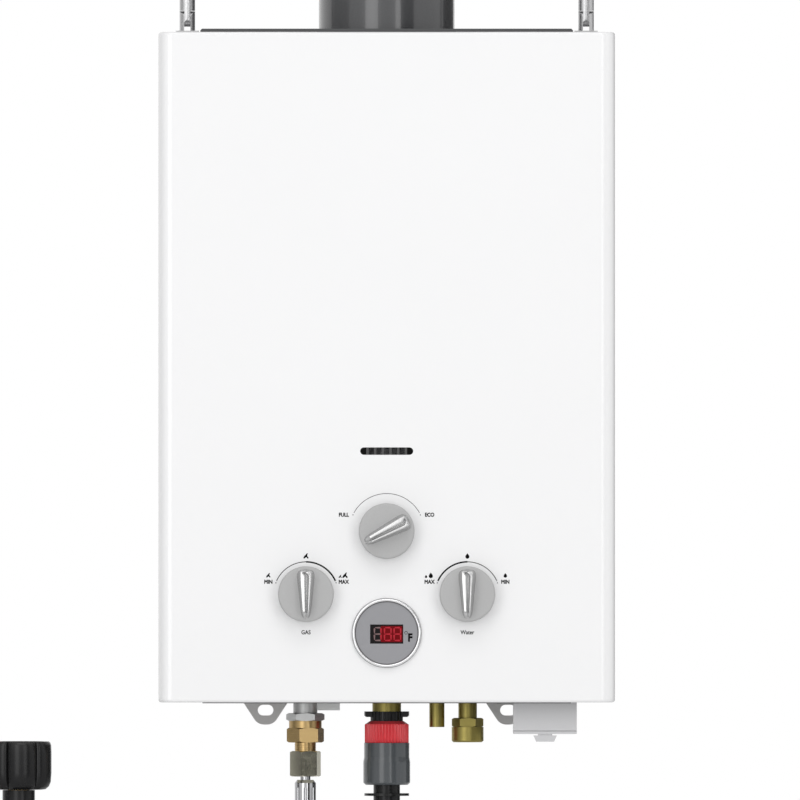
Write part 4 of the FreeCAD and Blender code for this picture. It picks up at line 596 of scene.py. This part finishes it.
@dataclass
class Printing:
    """Printed words and marks on the front of the case."""

    front: float = CASE_FRONT
    depth: float = 0.00003
    weight: float = 0.045
    narrow: float = 0.88
    arc_steps: int = 40
    drop_width: float = 0.8
    drop_tip: float = 0.04
    drop_taper: float = 2.2

    def word(self, mesh: Mesh, text: str, x: float, z: float, height: float,
             y: float | None = None, weight: float | None = None) -> None:
        """Add a word as a thin solid.

        Args:
            mesh: The bmesh that gets it.
            text: The word.
            x: The place across of its middle.
            z: The level of its middle.
            height: The height of a capital.
            y: The plane it is printed on, the case's front by default.
            weight: How far its strokes are thickened, as a share of the letters' size.
        """
        size = height / CAPITAL
        curve = bpy.data.curves.new("word", "FONT")
        curve.body = text
        curve.align_x = curve.align_y = "CENTER"
        curve.extrude = self.depth / size
        curve.bevel_depth = self.weight if weight is None else weight
        curve.bevel_resolution = 0
        curve.resolution_u = 4
        shape = bpy.data.objects.new("word", curve)
        bpy.context.collection.objects.link(shape)
        graph = bpy.context.evaluated_depsgraph_get()
        flat = bpy.data.meshes.new_from_object(shape.evaluated_get(graph))
        shrink = Matrix.Diagonal((size * self.narrow, size, size, 1))
        flat.transform(facing_front(x, self.front if y is None else y, z) @ shrink)
        mesh.from_mesh(flat)
        bpy.data.objects.remove(shape)
        bpy.data.curves.remove(curve)

    def arc(self, mesh: Mesh, x: float, z: float, radius: float, angles: Pair,
            width: float) -> None:
        """Add an arc round a dial.

        Args:
            mesh: The bmesh that gets it.
            x: The dial's place across.
            z: The dial's level.
            radius: The radius of the line's middle.
            angles: Its ends, clockwise from the top.
            width: The line's width.
        """
        begin, end = (radians(angle) for angle in angles)
        inner, outer, deep = radius - width / 2, radius + width / 2, self.depth
        corners = [(0, -deep, inner), (0, -deep, outer), (0, deep, outer), (0, deep, inner)]
        line = swept(corners, (0, 1, 0), end - begin, self.arc_steps)
        place = Matrix.Translation((x, self.front, z)) @ Matrix.Rotation(begin, 4, "Y")
        bmesh.ops.transform(line, matrix=place, verts=line.verts)
        take_in(mesh, line)

    def blot(self, mesh: Mesh, mark: Mark | None, x: float, z: float, size: float) -> None:
        """Add a dot, a drop or a flame.

        Args:
            mesh: The bmesh that gets it.
            mark: The sign, or None for a plain dot.
            x: The place across.
            z: The level of its middle.
            size: Its height.
        """
        shape = bmesh.new()
        if mark is Mark.FLAME:
            corners = [shape.verts.new((size * across, size * up, 0.0)) for across, up in FLAME]
            shape.faces.new(corners)
        else:
            made = bmesh.ops.create_circle(shape, cap_ends=True, segments=20, radius=size / 2)
            for vert in made["verts"]:
                rise = min(1.0, max(0.0, vert.co.y / size + 0.5))
                slim = self.drop_width * (1.0 - rise ** self.drop_taper) + self.drop_tip
                vert.co.x *= slim if mark else 1.0
        thicken(shape, 2 * self.depth)
        bmesh.ops.triangulate(shape, faces=shape.faces)
        bmesh.ops.transform(shape, matrix=facing_front(x, self.front, z), verts=shape.verts)
        take_in(mesh, shape)


@dataclass
class Scale(Part):
    """The printed scale round one dial; a sign is given as its shift, rise and size."""

    name: str
    x: float
    z: float
    radius: float
    reach: float
    left: str
    right: str
    word_out: float
    word_level: float
    widths: Pair
    mark: Mark | None = None
    below: str = ""
    word_height: float = 0.0024
    below_drop: float = 0.0248
    below_height: float = 0.0026
    below_weight: float = 0.022
    dot_past: float = 3.0
    dot_drop: float = 0.0002
    dot_size: float = 0.0007
    low_marks: tuple[Point, ...] = ((0.0, 0.0043, 0.003),)
    high_marks: tuple[Point, ...] = ((0.0009, 0.0043, 0.0037), (-0.0022, 0.0036, 0.0021))
    top_rise: float = 0.0038
    top_size: float = 0.0036

    def build(self, shop: Workshop) -> None:
        """Print the scale as one piece."""
        printing, mesh = Printing(), bmesh.new()
        low, high = self.widths
        printing.arc(mesh, self.x, self.z, self.radius, (-self.reach, 0.0), low)
        printing.arc(mesh, self.x, self.z, self.radius, (0.0, self.reach), high)
        side = radians(self.reach + self.dot_past)
        dots = self.z + self.radius * cos(side) - self.dot_drop
        for sign in (-1, 1):
            printing.blot(mesh, None, self.x + sign * self.radius * sin(side), dots,
                          self.dot_size)
        level = self.z + self.word_level
        for sign, text, width in ((-1, self.left, low), (1, self.right, high)):
            at = self.x + sign * self.word_out
            printing.word(mesh, text, at, level, self.word_height)
            marks = self.high_marks if width == max(low, high) else self.low_marks
            for shift, rise, size in marks if self.mark else ():
                printing.blot(mesh, self.mark, at + shift, level + rise, size)
        if self.mark:
            printing.blot(mesh, self.mark, self.x, self.z + self.radius + self.top_rise,
                          self.top_size)
        if self.below:
            printing.word(mesh, self.below, self.x, self.z - self.below_drop, self.below_height,
                          weight=self.below_weight)
        shop.piece(f"{self.name}_print", mesh, "print_black", smooth=False)


@dataclass(frozen=True)
class Ridge:
    """The tapered ridge of a knob; walls and groove are shares of its half width and length."""

    half_length: float = 0.0161
    head: float = 0.0064
    tail: float = 0.0029
    outline_power: float = 9.0
    outline_root: float = 0.4
    shoulder: float = 0.0014
    lean: float = 0.24
    lean_level: float = 0.7
    left_wall: float = 0.42
    right_wall: float = 0.46
    tail_wall: float = 0.3
    head_wall: float = 0.12
    groove_depth: float = 0.0022
    groove_width: float = 0.16
    groove_place: float = 0.1
    groove_end: float = 0.93
    groove_fade: float = 0.1
    bend: float = 2.4
    bend_from: float = 0.74
    foot: float = 0.0006

    def shaped(self, high: float) -> Mesh:
        """Shape the ridge from a grid along the knob's diameter.

        Args:
            high: The height of the ridge over the disc.

        Returns:
            The ridge, upright on the origin.
        """
        mesh = bmesh.new()
        bmesh.ops.create_grid(mesh, x_segments=64, y_segments=72, size=1.0)
        for vert in mesh.verts:
            across, along = vert.co.x, vert.co.y
            half = self.tail + (self.head - self.tail) * (along + 1) / 2
            half *= max(0.0, 1 - abs(along) ** self.outline_power) ** self.outline_root
            lean = self.lean * half * (min(across, 0.0) + self.lean_level)
            wall = eased((across + 1) / self.left_wall) * eased((1 - across) / self.right_wall)
            ends = eased((along + 1) / self.tail_wall) * eased((1 - along) / self.head_wall)
            middle = self.groove_place - self.bend * max(0.0, along - self.bend_from)
            groove = self.groove_depth * exp(-((across - middle) / self.groove_width) ** 2)
            groove *= eased((self.groove_end - along) / self.groove_fade)
            deep = (high - self.shoulder + lean - groove) * wall * ends
            vert.co = (across * half, -deep, along * self.half_length)
        rim = [edge for edge in mesh.edges if edge.is_boundary]
        for part in bmesh.ops.extrude_edge_only(mesh, edges=rim)["geom"]:
            if isinstance(part, bmesh.types.BMVert):
                part.co.y = self.foot
        bmesh.ops.remove_doubles(mesh, verts=mesh.verts, dist=SAME_SEAM)
        close_ends(mesh, 0)
        return mesh


@dataclass
class Knob(Part):
    """A dial's knob: a grey disc with a bright tapered ridge and a groove along it."""

    name: str
    x: float
    z: float
    turn: float = 0.0
    radius: float = 0.018
    back: float = -0.1308
    face: float = -0.1418
    top: float = -0.1506
    foot_in: float = 0.0012
    skirt_in: float = 0.0004
    skirt: float = 0.0006
    rim: float = 0.0014
    dish: float = 0.0001
    shape: Ridge = Ridge()

    def build(self, shop: Workshop) -> None:
        """Make the disc and the ridge."""
        deep, rim = self.back - self.face, self.rim
        quarter = [step * pi / 12 for step in range(1, 7)]
        profile = [(0.0, 0.0), (self.radius - self.foot_in, 0.0),
                   (self.radius - self.skirt_in, self.skirt), (self.radius, deep - rim)]
        profile += [(self.radius - rim * (1 - cos(angle)),
                     deep - rim * (1 - sin(angle))) for angle in quarter]
        profile += [(self.radius * 0.5, deep - self.dish), (0.0, deep)]
        body = f"{self.name}_dial"
        shop.piece(f"{self.name}_knob_disc", turned(profile, (self.x, self.back, self.z), FORWARD),
                   "knob_disc", body, stands_for=(f"{self.name}_knob",))
        ridge = self.shape.shaped(self.face - self.top)
        turn = Matrix.Rotation(radians(self.turn), 4, "Y")
        place = Matrix.Translation((self.x, self.face, self.z))
        bmesh.ops.transform(ridge, matrix=place @ turn, verts=ridge.verts)
        shop.piece(f"{self.name}_knob_ridge", ridge, "knob_ridge", body)


@dataclass
class Display(Part):
    """The round display: digits of lit (1) and faint (0) bars behind a window, and the unit."""

    z: float = 0.0503
    disc: float = -0.13204
    bars: float = -0.13203
    lens: float = -0.13198
    digit_height: float = 0.0082
    digit_width: float = 0.0042
    digit_shift: float = 0.0003
    bar: float = 0.00095
    bar_depth: float = 0.00008
    places: Point = (-0.0061, 0.0004, 0.0066)
    lit: tuple[str, ...] = ("0110000", "1111111", "1111111")
    glow_shift: float = 0.0031
    glow_size: Point = (0.0140, 0.0104, 1.0)
    glow_corner: float = 0.0006
    glow_depth: float = 0.00006
    unit_place: Pair = (0.0151, -0.0025)
    unit_height: float = 0.0049
    degree_place: Pair = (0.0125, 0.0008)
    degree_radii: Pair = (0.00075, 0.00105)
    degree_sink: float = 0.00004

    def build(self, shop: Workshop) -> None:
        """Make the lit glow, the bars of the digits and the unit."""
        glow = bmesh.new()
        bmesh.ops.create_grid(glow, x_segments=1, y_segments=1, size=0.5)
        bmesh.ops.scale(glow, verts=glow.verts, vec=self.glow_size)
        bmesh.ops.bevel(glow, geom=list(glow.verts), offset=self.glow_corner, affect="VERTICES",
                        segments=4, profile=0.5, material=-1)
        thicken(glow, self.glow_depth)
        stand = facing_front(self.glow_shift, self.lens, self.z)
        bmesh.ops.transform(glow, matrix=stand, verts=glow.verts)
        shop.piece("display_glow", glow, "segment_halo", "case", smooth=False)
        for wanted, name, finish in (("1", "lit", "segment_lit"), ("0", "faint", "segment_dim")):
            bars = bmesh.new()
            for place, states in zip(self.places, self.lit):
                for index, state in enumerate(states):
                    if state == wanted:
                        self.add_bar(bars, place, index)
            shop.piece(f"display_bars_{name}", bars, finish, "case", smooth=False)
        unit = bmesh.new()
        right, up = self.unit_place
        Printing().word(unit, "F", right, self.z + up, self.unit_height, y=self.disc)
        right, up = self.degree_place
        take_in(unit, turned_ring(*self.degree_radii, self.glow_depth,
                                  (right, self.disc + self.degree_sink, self.z + up), 28))
        shop.piece("display_unit", unit, "print_black", smooth=False)

    def add_bar(self, mesh: Mesh, place: float, index: int) -> None:
        """Add one bar of a digit, a long hexagon.

        Args:
            mesh: The bmesh that gets it.
            place: The digit's middle across.
            index: 0 top, then clockwise to 5, and 6 the middle one.
        """
        tall, wide = self.digit_height / 2, self.digit_width / 2
        centres = ((0, tall), (wide, tall / 2), (wide, -tall / 2), (0, -tall), (-wide, -tall / 2),
                   (-wide, tall / 2), (0, 0))
        flat = index in (0, 3, 6)
        length = (2 * wide if flat else tall) - self.bar * 1.15
        shape = bmesh.new()
        made = bmesh.ops.create_circle(shape, cap_ends=True, segments=6, radius=self.bar * 0.58)
        for vert in made["verts"]:
            vert.co.x += copysign(length / 2 - self.bar * 0.3, vert.co.x)
        if not flat:
            bmesh.ops.rotate(shape, verts=shape.verts, cent=ORIGIN,
                             matrix=Matrix.Rotation(pi / 2, 3, "Z"))
        thicken(shape, self.bar_depth)
        right, up = centres[index]
        stand = facing_front(place + self.digit_shift + right, self.bars, self.z + up)
        bmesh.ops.transform(shape, matrix=stand, verts=shape.verts)
        take_in(mesh, shape)


@dataclass
class Thread(Part):
    """The thread of the gas adaptor; its tooth is given in shares of the pitch or depth."""

    centre: Point = (-0.0527, ROW, -0.0204)
    radius: float = 0.0068
    length: float = 0.0055
    pitch: float = 0.0014
    depth: float = 0.42
    root: float = 0.6
    crest: float = 0.25
    root_half: float = 0.46
    crest_half: float = 0.12
    turn_steps: int = 40

    def build(self, shop: Workshop) -> None:
        """Sweep the small tooth along the helix."""
        turns = self.length / self.pitch - 1
        deep = self.pitch * self.depth
        inner, outer = self.radius - deep * self.root, self.radius + deep * self.crest
        tooth = [(reach, 0.0, self.pitch * rise) for reach, rise in (
            (inner, -self.root_half), (outer, -self.crest_half), (outer, self.crest_half),
            (inner, self.root_half))]
        steps = int(self.turn_steps * turns)
        mesh = swept(tooth, UP, 2 * pi * turns, steps, -self.pitch * turns / steps)
        x, y, z = self.centre
        bmesh.ops.translate(mesh, verts=mesh.verts, vec=(x, y, z - self.pitch / 2))
        shop.piece("adaptor_thread", mesh, "brass", "case")


@dataclass
class Screws(Part):
    """Low pan-head screws on the sides of the case."""

    side: float = 0.1475
    depth: float = -0.02
    levels: Point = (0.05, 0.23, 0.41)
    radius: float = 0.0034
    height: float = 0.0004
    sink: float = -0.0004
    crown: tuple[Pair, ...] = ((0.0, 0.55), (0.3, 1.0), (0.62, 0.86), (0.9, 0.5), (1.0, 0.1))

    def build(self, shop: Workshop) -> None:
        """Make all the screws as one piece."""
        profile = [(self.radius * out, self.height * up) for out, up in self.crown]
        profile += [(self.radius, self.sink), (0.0, self.sink)]
        mesh = bmesh.new()
        for sign in (-1, 1):
            for level in self.levels:
                place = (sign * self.side, self.depth, level)
                take_in(mesh, turned(profile, place, (sign, 0, 0), 24))
        shop.piece("cover_screws", mesh, "stainless", "case")


@dataclass
class Hose(Part):
    """The rubber gas hose: down from its ferrule, round its coil and up to the regulator."""

    radius: float = 0.006
    length: float = 1.3
    start: Point = (-0.0527, ROW, -0.0716)
    coil: Point = (-0.16, ROW, -0.23)
    coil_radius: float = 0.0683
    sway: float = 0.0007
    sway_turns: float = 2.3
    pitch: float = 0.0129
    turns: float = 2.5
    per_turn: int = 12
    lead: tuple[Point, ...] = ((-0.0527, ROW, -0.112), (-0.094, ROW, -0.1775))
    rise: tuple[Point, ...] = ((-0.226, -0.09225, -0.190), (-0.238, -0.09225, -0.1575),
                               (-0.238, -0.09225, -0.1329))

    def route(self) -> list[Point]:
        """Return the control points from the ferrule to the regulator's socket."""
        points = [self.start, *self.lead]
        x, y, z = self.coil
        step = 360 / self.per_turn
        for index in range(int(self.turns * self.per_turn) + 2):
            angle = radians(step * index - step / 2)
            share = min(max(angle / (2 * pi), 0.0), self.turns)
            sway = self.sway * sin(self.sway_turns * angle) * (0 < share < self.turns)
            reach = self.coil_radius + sway
            points.append((x + reach * cos(angle), y - self.pitch * share,
                           z - reach * sin(angle)))
        return points + list(self.rise)

    def build(self, shop: Workshop) -> None:
        curve = bpy.data.curves.new("gas_hose", "CURVE")
        curve.dimensions = "3D"
        spline = curve.splines.new("NURBS")
        route = self.route()
        spline.points.add(len(route) - 1)
        for point, place in zip(spline.points, route):
            point.co = (*place, 1.0)
        spline.order_u = 3
        spline.use_endpoint_u = True
        spline.resolution_u = 6
        curve.bevel_depth = self.radius
        curve.bevel_resolution = 8
        curve.use_fill_caps = True
        curve.materials.append(shop.paints["hose_rubber"])
        hose = bpy.data.objects.new("gas_hose", curve)
        bpy.context.collection.objects.link(hose)
        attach(hose, "case")
        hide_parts("gas_hose_upper", "gas_hose_coil", "gas_hose_lower")


@dataclass
class Studio:
    """The camera, the lights and the pale surroundings."""

    aim: Point = (0.0086, -0.13, 0.2014)
    distance: float = 22.0
    view_width: float = 0.5165
    daylight: float = 0.6
    floor_level: float = -0.34
    aim_of_lights: Point = (0.0, ROW, 0.2)
    sensor: float = 36.0

    def build(self) -> None:
        """Set up everything that isn't part of the object."""
        bpy.context.scene.view_settings.view_transform = "Standard"
        self.camera()
        self.world()
        self.surrounds()
        self.lights()

    def camera(self) -> None:
        """Stand the camera far ahead of the front with a long lens."""
        lens = bpy.data.cameras.new("camera")
        lens.sensor_width = self.sensor
        lens.lens = self.sensor * self.distance / self.view_width
        lens.clip_start, lens.clip_end = 0.1, 100.0
        camera = bpy.data.objects.new("camera", lens)
        x, y, z = self.aim
        camera.location = (x, y - self.distance, z)
        camera.rotation_euler = (radians(90), 0.0, 0.0)
        bpy.context.collection.objects.link(camera)
        bpy.context.scene.camera = camera

    def world(self) -> None:
        """Make a white surround for camera, gloss and glass, and plain daylight for the rest."""
        world = bpy.data.worlds.new("surround")
        world.use_nodes = True
        tree = world.node_tree
        tree.nodes.clear()
        rays = node(tree, "LightPath").outputs
        seen = maths(tree, "ADD", rays["Is Camera Ray"], rays["Is Glossy Ray"])
        either = maths(tree, "ADD", seen, rays["Is Transmission Ray"], clamp=True)
        soft, white = (node(tree, "Background", {"Color": (1.0, 1.0, 1.0, 1.0), "Strength": power})
                       for power in (self.daylight, 1.0))
        mixed = node(tree, "MixShader", {0: either, 1: soft.outputs[0], 2: white.outputs[0]})
        node(tree, "OutputWorld", {"Surface": mixed.outputs[0]})
        bpy.context.scene.world = world

    def sheet(self, name: str, size: Pair, matrix: Matrix, grey: float) -> bpy.types.Object:
        """Add a flat dull surround.

        Args:
            name: The object's name.
            size: Its two sides.
            matrix: Where it stands.
            grey: Its brightness.

        Returns:
            The object.
        """
        paint = bpy.data.materials.new(name + "_paint")
        paint.use_nodes = True
        inputs = paint.node_tree.nodes["Principled BSDF"].inputs
        inputs["Base Color"].default_value = (grey, grey, grey, 1.0)
        inputs["Roughness"].default_value = 0.9
        inputs["Specular IOR Level"].default_value = 0.0
        mesh = bmesh.new()
        bmesh.ops.create_grid(mesh, x_segments=1, y_segments=1, size=0.5)
        bmesh.ops.scale(mesh, verts=mesh.verts, vec=(*size, 1.0))
        bmesh.ops.transform(mesh, matrix=matrix, verts=mesh.verts)
        data = bpy.data.meshes.new(name)
        mesh.to_mesh(data)
        mesh.free()
        data.materials.append(paint)
        made = bpy.data.objects.new(name, data)
        bpy.context.collection.objects.link(made)
        return made

    def surrounds(self) -> None:
        """Lay a pale floor, and stand grey cards out of sight for contrast in the metal."""
        self.sheet("floor", (12.0, 12.0), Matrix.Translation((0.0, 0.0, self.floor_level)), 0.9)
        for name, grey, width, place, turn in (
                ("left_card", 0.58, 0.8, (-1.15, -0.17, 0.3), 90),
                ("right_card", 0.12, 1.0, (0.92, 0.77, 0.3), 130),
                ("front_card", 0.03, 0.57, (0.685, -1.0, 0.3), 0)):
            matrix = Matrix.Translation(place) @ Matrix.Rotation(radians(turn), 4, "Z")
            upright = matrix @ Matrix.Rotation(pi / 2, 4, "X")
            card = self.sheet(name, (width, 2.4), upright, grey)
            card.visible_camera = card.visible_diffuse = card.visible_shadow = False

    def lights(self) -> None:
        """Add three soft boxes aimed at the object, with their width and height and their watts."""
        for name, place, size, power in (
                ("left_box", (-0.80, -1.75, 0.28), (0.7, 1.7), 7.15),
                ("right_box", (0.80, -1.75, 0.28), (0.7, 1.7), 6.75),
                ("top_box", (0.0, -1.5, 1.9), (1.8, 0.9), 9.5)):
            light = bpy.data.lights.new(name, "AREA")
            light.shape = "RECTANGLE"
            light.size, light.size_y = size
            light.energy = power
            lamp = bpy.data.objects.new(name, light)
            lamp.location = place
            away = Vector(self.aim_of_lights) - Vector(place)
            lamp.rotation_euler = away.to_track_quat("-Z", "Y").to_euler()
            bpy.context.collection.objects.link(lamp)


@dataclass
class WindowBars(Part):
    """The grey faces of the ribs in the flame window."""

    count: int = 6
    pitch: float = 0.00495
    level: float = 0.1684
    size: Point = (0.0016, 0.0002, 0.0047)
    sink: float = 0.00015

    def build(self, shop: Workshop) -> None:
        """Make all the bars as one piece."""
        mesh = bmesh.new()
        for index in range(self.count):
            across = (index - (self.count - 1) / 2) * self.pitch
            bar = bmesh.ops.create_cube(mesh, size=1.0)["verts"]
            bmesh.ops.scale(mesh, verts=bar, vec=self.size)
            bmesh.ops.translate(mesh, verts=bar, vec=(across, CASE_FRONT + self.sink, self.level))
        shop.piece("window_bars", mesh, "bar_grey", smooth=False)


@dataclass
class QuickCollar(Part):
    """The ribbed red collar of the quick connector."""

    foot: Point = (0.0, ROW, -0.0206)
    height: float = 0.0141
    radius: float = 0.01425
    toe: float = 0.0002
    toe_height: float = 0.0003
    cap_radius: float = 0.01385
    cap_hole: float = 0.01115
    bore: float = 0.01055
    rib: float = 0.0009
    ribs: int = 44
    rib_drop: float = 0.0024
    cap_drop: float = 0.0019
    sharpness: float = 2.2

    def build(self, shop: Workshop) -> None:
        """Make the collar."""
        outline = [(self.radius - self.toe, 0.0, self.rib),
                   (self.radius, self.toe_height, self.rib),
                   (self.radius, self.height - self.rib_drop, self.rib),
                   (self.cap_radius, self.height - self.cap_drop, 0.0),
                   (self.cap_hole, self.height, 0.0)]
        mesh = fluted(outline, [(self.bore, self.height), (self.bore, 0.0)], self.ribs, 12,
                      self.sharpness, self.foot)
        shop.piece("quick_collar_ribbed", mesh, "red_plastic", "release_sleeve",
                   stands_for=("quick_collar",))


@dataclass
class TankNut(Part):
    """The black tank nut with six broad lobes."""

    foot: Point = (-0.238, -0.09225, -0.0506)
    height: float = 0.0312
    bore: float = 0.0162
    hole: float = 0.00705
    flute: float = 0.0036
    lobes: int = 6
    turn: float = -22.0
    sharpness: float = 0.22

    def build(self, shop: Workshop) -> None:
        """Make the nut, whose outside is given as radius, height and share of the flute."""
        tall, floor = self.height, self.height / 7
        rings = ((0.0150, 0.0, 0.0), (0.0176, 0.0003, 0.2), (0.0201, 0.0022, 0.75),
                 (0.0214, 0.0050, 1.0), (0.0219, 0.0110, 1.0), (0.0219, 0.0240, 1.0),
                 (0.0217, tall - 0.0024, 1.0), (0.0210, tall - 0.0007, 0.8), (0.0201, tall, 0.5))
        outline = [(radius, up, self.flute * share) for radius, up, share in rings]
        inside = [(self.bore, tall), (self.bore, floor), (self.hole, floor), (self.hole, 0.0)]
        mesh = fluted(outline, inside, self.lobes, 24, self.sharpness, self.foot, self.turn)
        shop.piece("tank_nut_lobed", mesh, "black_plastic", "tank_swivel",
                   stands_for=("tank_nut",))


@dataclass
class Bezel(Part):
    """The rolled chrome rim round the display, with a dark ring inside that is the seam's gap
    painted with its shade, and a gasket outside.
    """

    middle: Point = (0.0, CASE_FRONT, 0.051)
    bead_radius: float = 0.02130
    bead_level: float = 0.0023
    bead_half_width: float = 0.00095
    bead_half_height: float = 0.0011
    rings: tuple[tuple[str, float, float, float], ...] = (
        # the inner dark ring is the seam between rim and plate, made dark as painted shade of that
        # gap
        ("display_seam_shade", 0.0200, 0.02036, 0.0023), ("display_gasket", 0.0222, 0.0225, 0.0004))

    def build(self, shop: Workshop) -> None:
        """Make the rim and its two rings."""
        middle, half = self.bead_radius, self.bead_half_width
        bead = [(middle + half * cos(radians(angle)),
                 self.bead_level + self.bead_half_height * sin(radians(angle)))
                for angle in range(0, 181, 15)]
        profile = [(middle + half, 0.0), *bead, (middle - half, 0.0), (middle + half, 0.0)]
        rim = turned(profile, self.middle, FORWARD)
        shop.piece("display_bezel_rolled", rim, "chromed", "case",
                   stands_for=("display_bezel",))
        for name, hole, edge, rise in self.rings:
            ring = turned_ring(hole, edge, rise, self.middle)
            shop.piece(name, ring, "bar_grey", smooth=False)


def main() -> None:
    """Load the frame, dress it and set the scene."""
    logging.basicConfig(level=logging.INFO, format="%(message)s")
    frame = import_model()
    shop = Workshop(frame)
    Hose().build(shop)
    Studio().build()
    for part in (
            Scale("season", 0.0, 0.1168, 0.0242, 61.0, "FULL", "ECO", 0.0277, 0.0104,
                  (0.00035, 0.00035)),
            Scale("gas", -0.0521, 0.0761, 0.0208, 66.0, "MIN", "MAX", 0.0243, 0.0078,
                  (0.0005, 0.001), Mark.FLAME, "GAS"),
            Scale("water", 0.0521, 0.0761, 0.0208, 66.0, "MAX", "MIN", 0.0245, 0.0078,
                  (0.001, 0.0005), Mark.DROP, "Water"),
            Knob("gas", -0.0521, 0.0761), Knob("water", 0.0521, 0.0761),
            Knob("season", 0.0, 0.1168, turn=63.0), Display(), WindowBars(), QuickCollar(),
            TankNut(), Bezel(), Thread(), Screws()):
        part.build(shop)


if __name__ == "__main__":
    main()
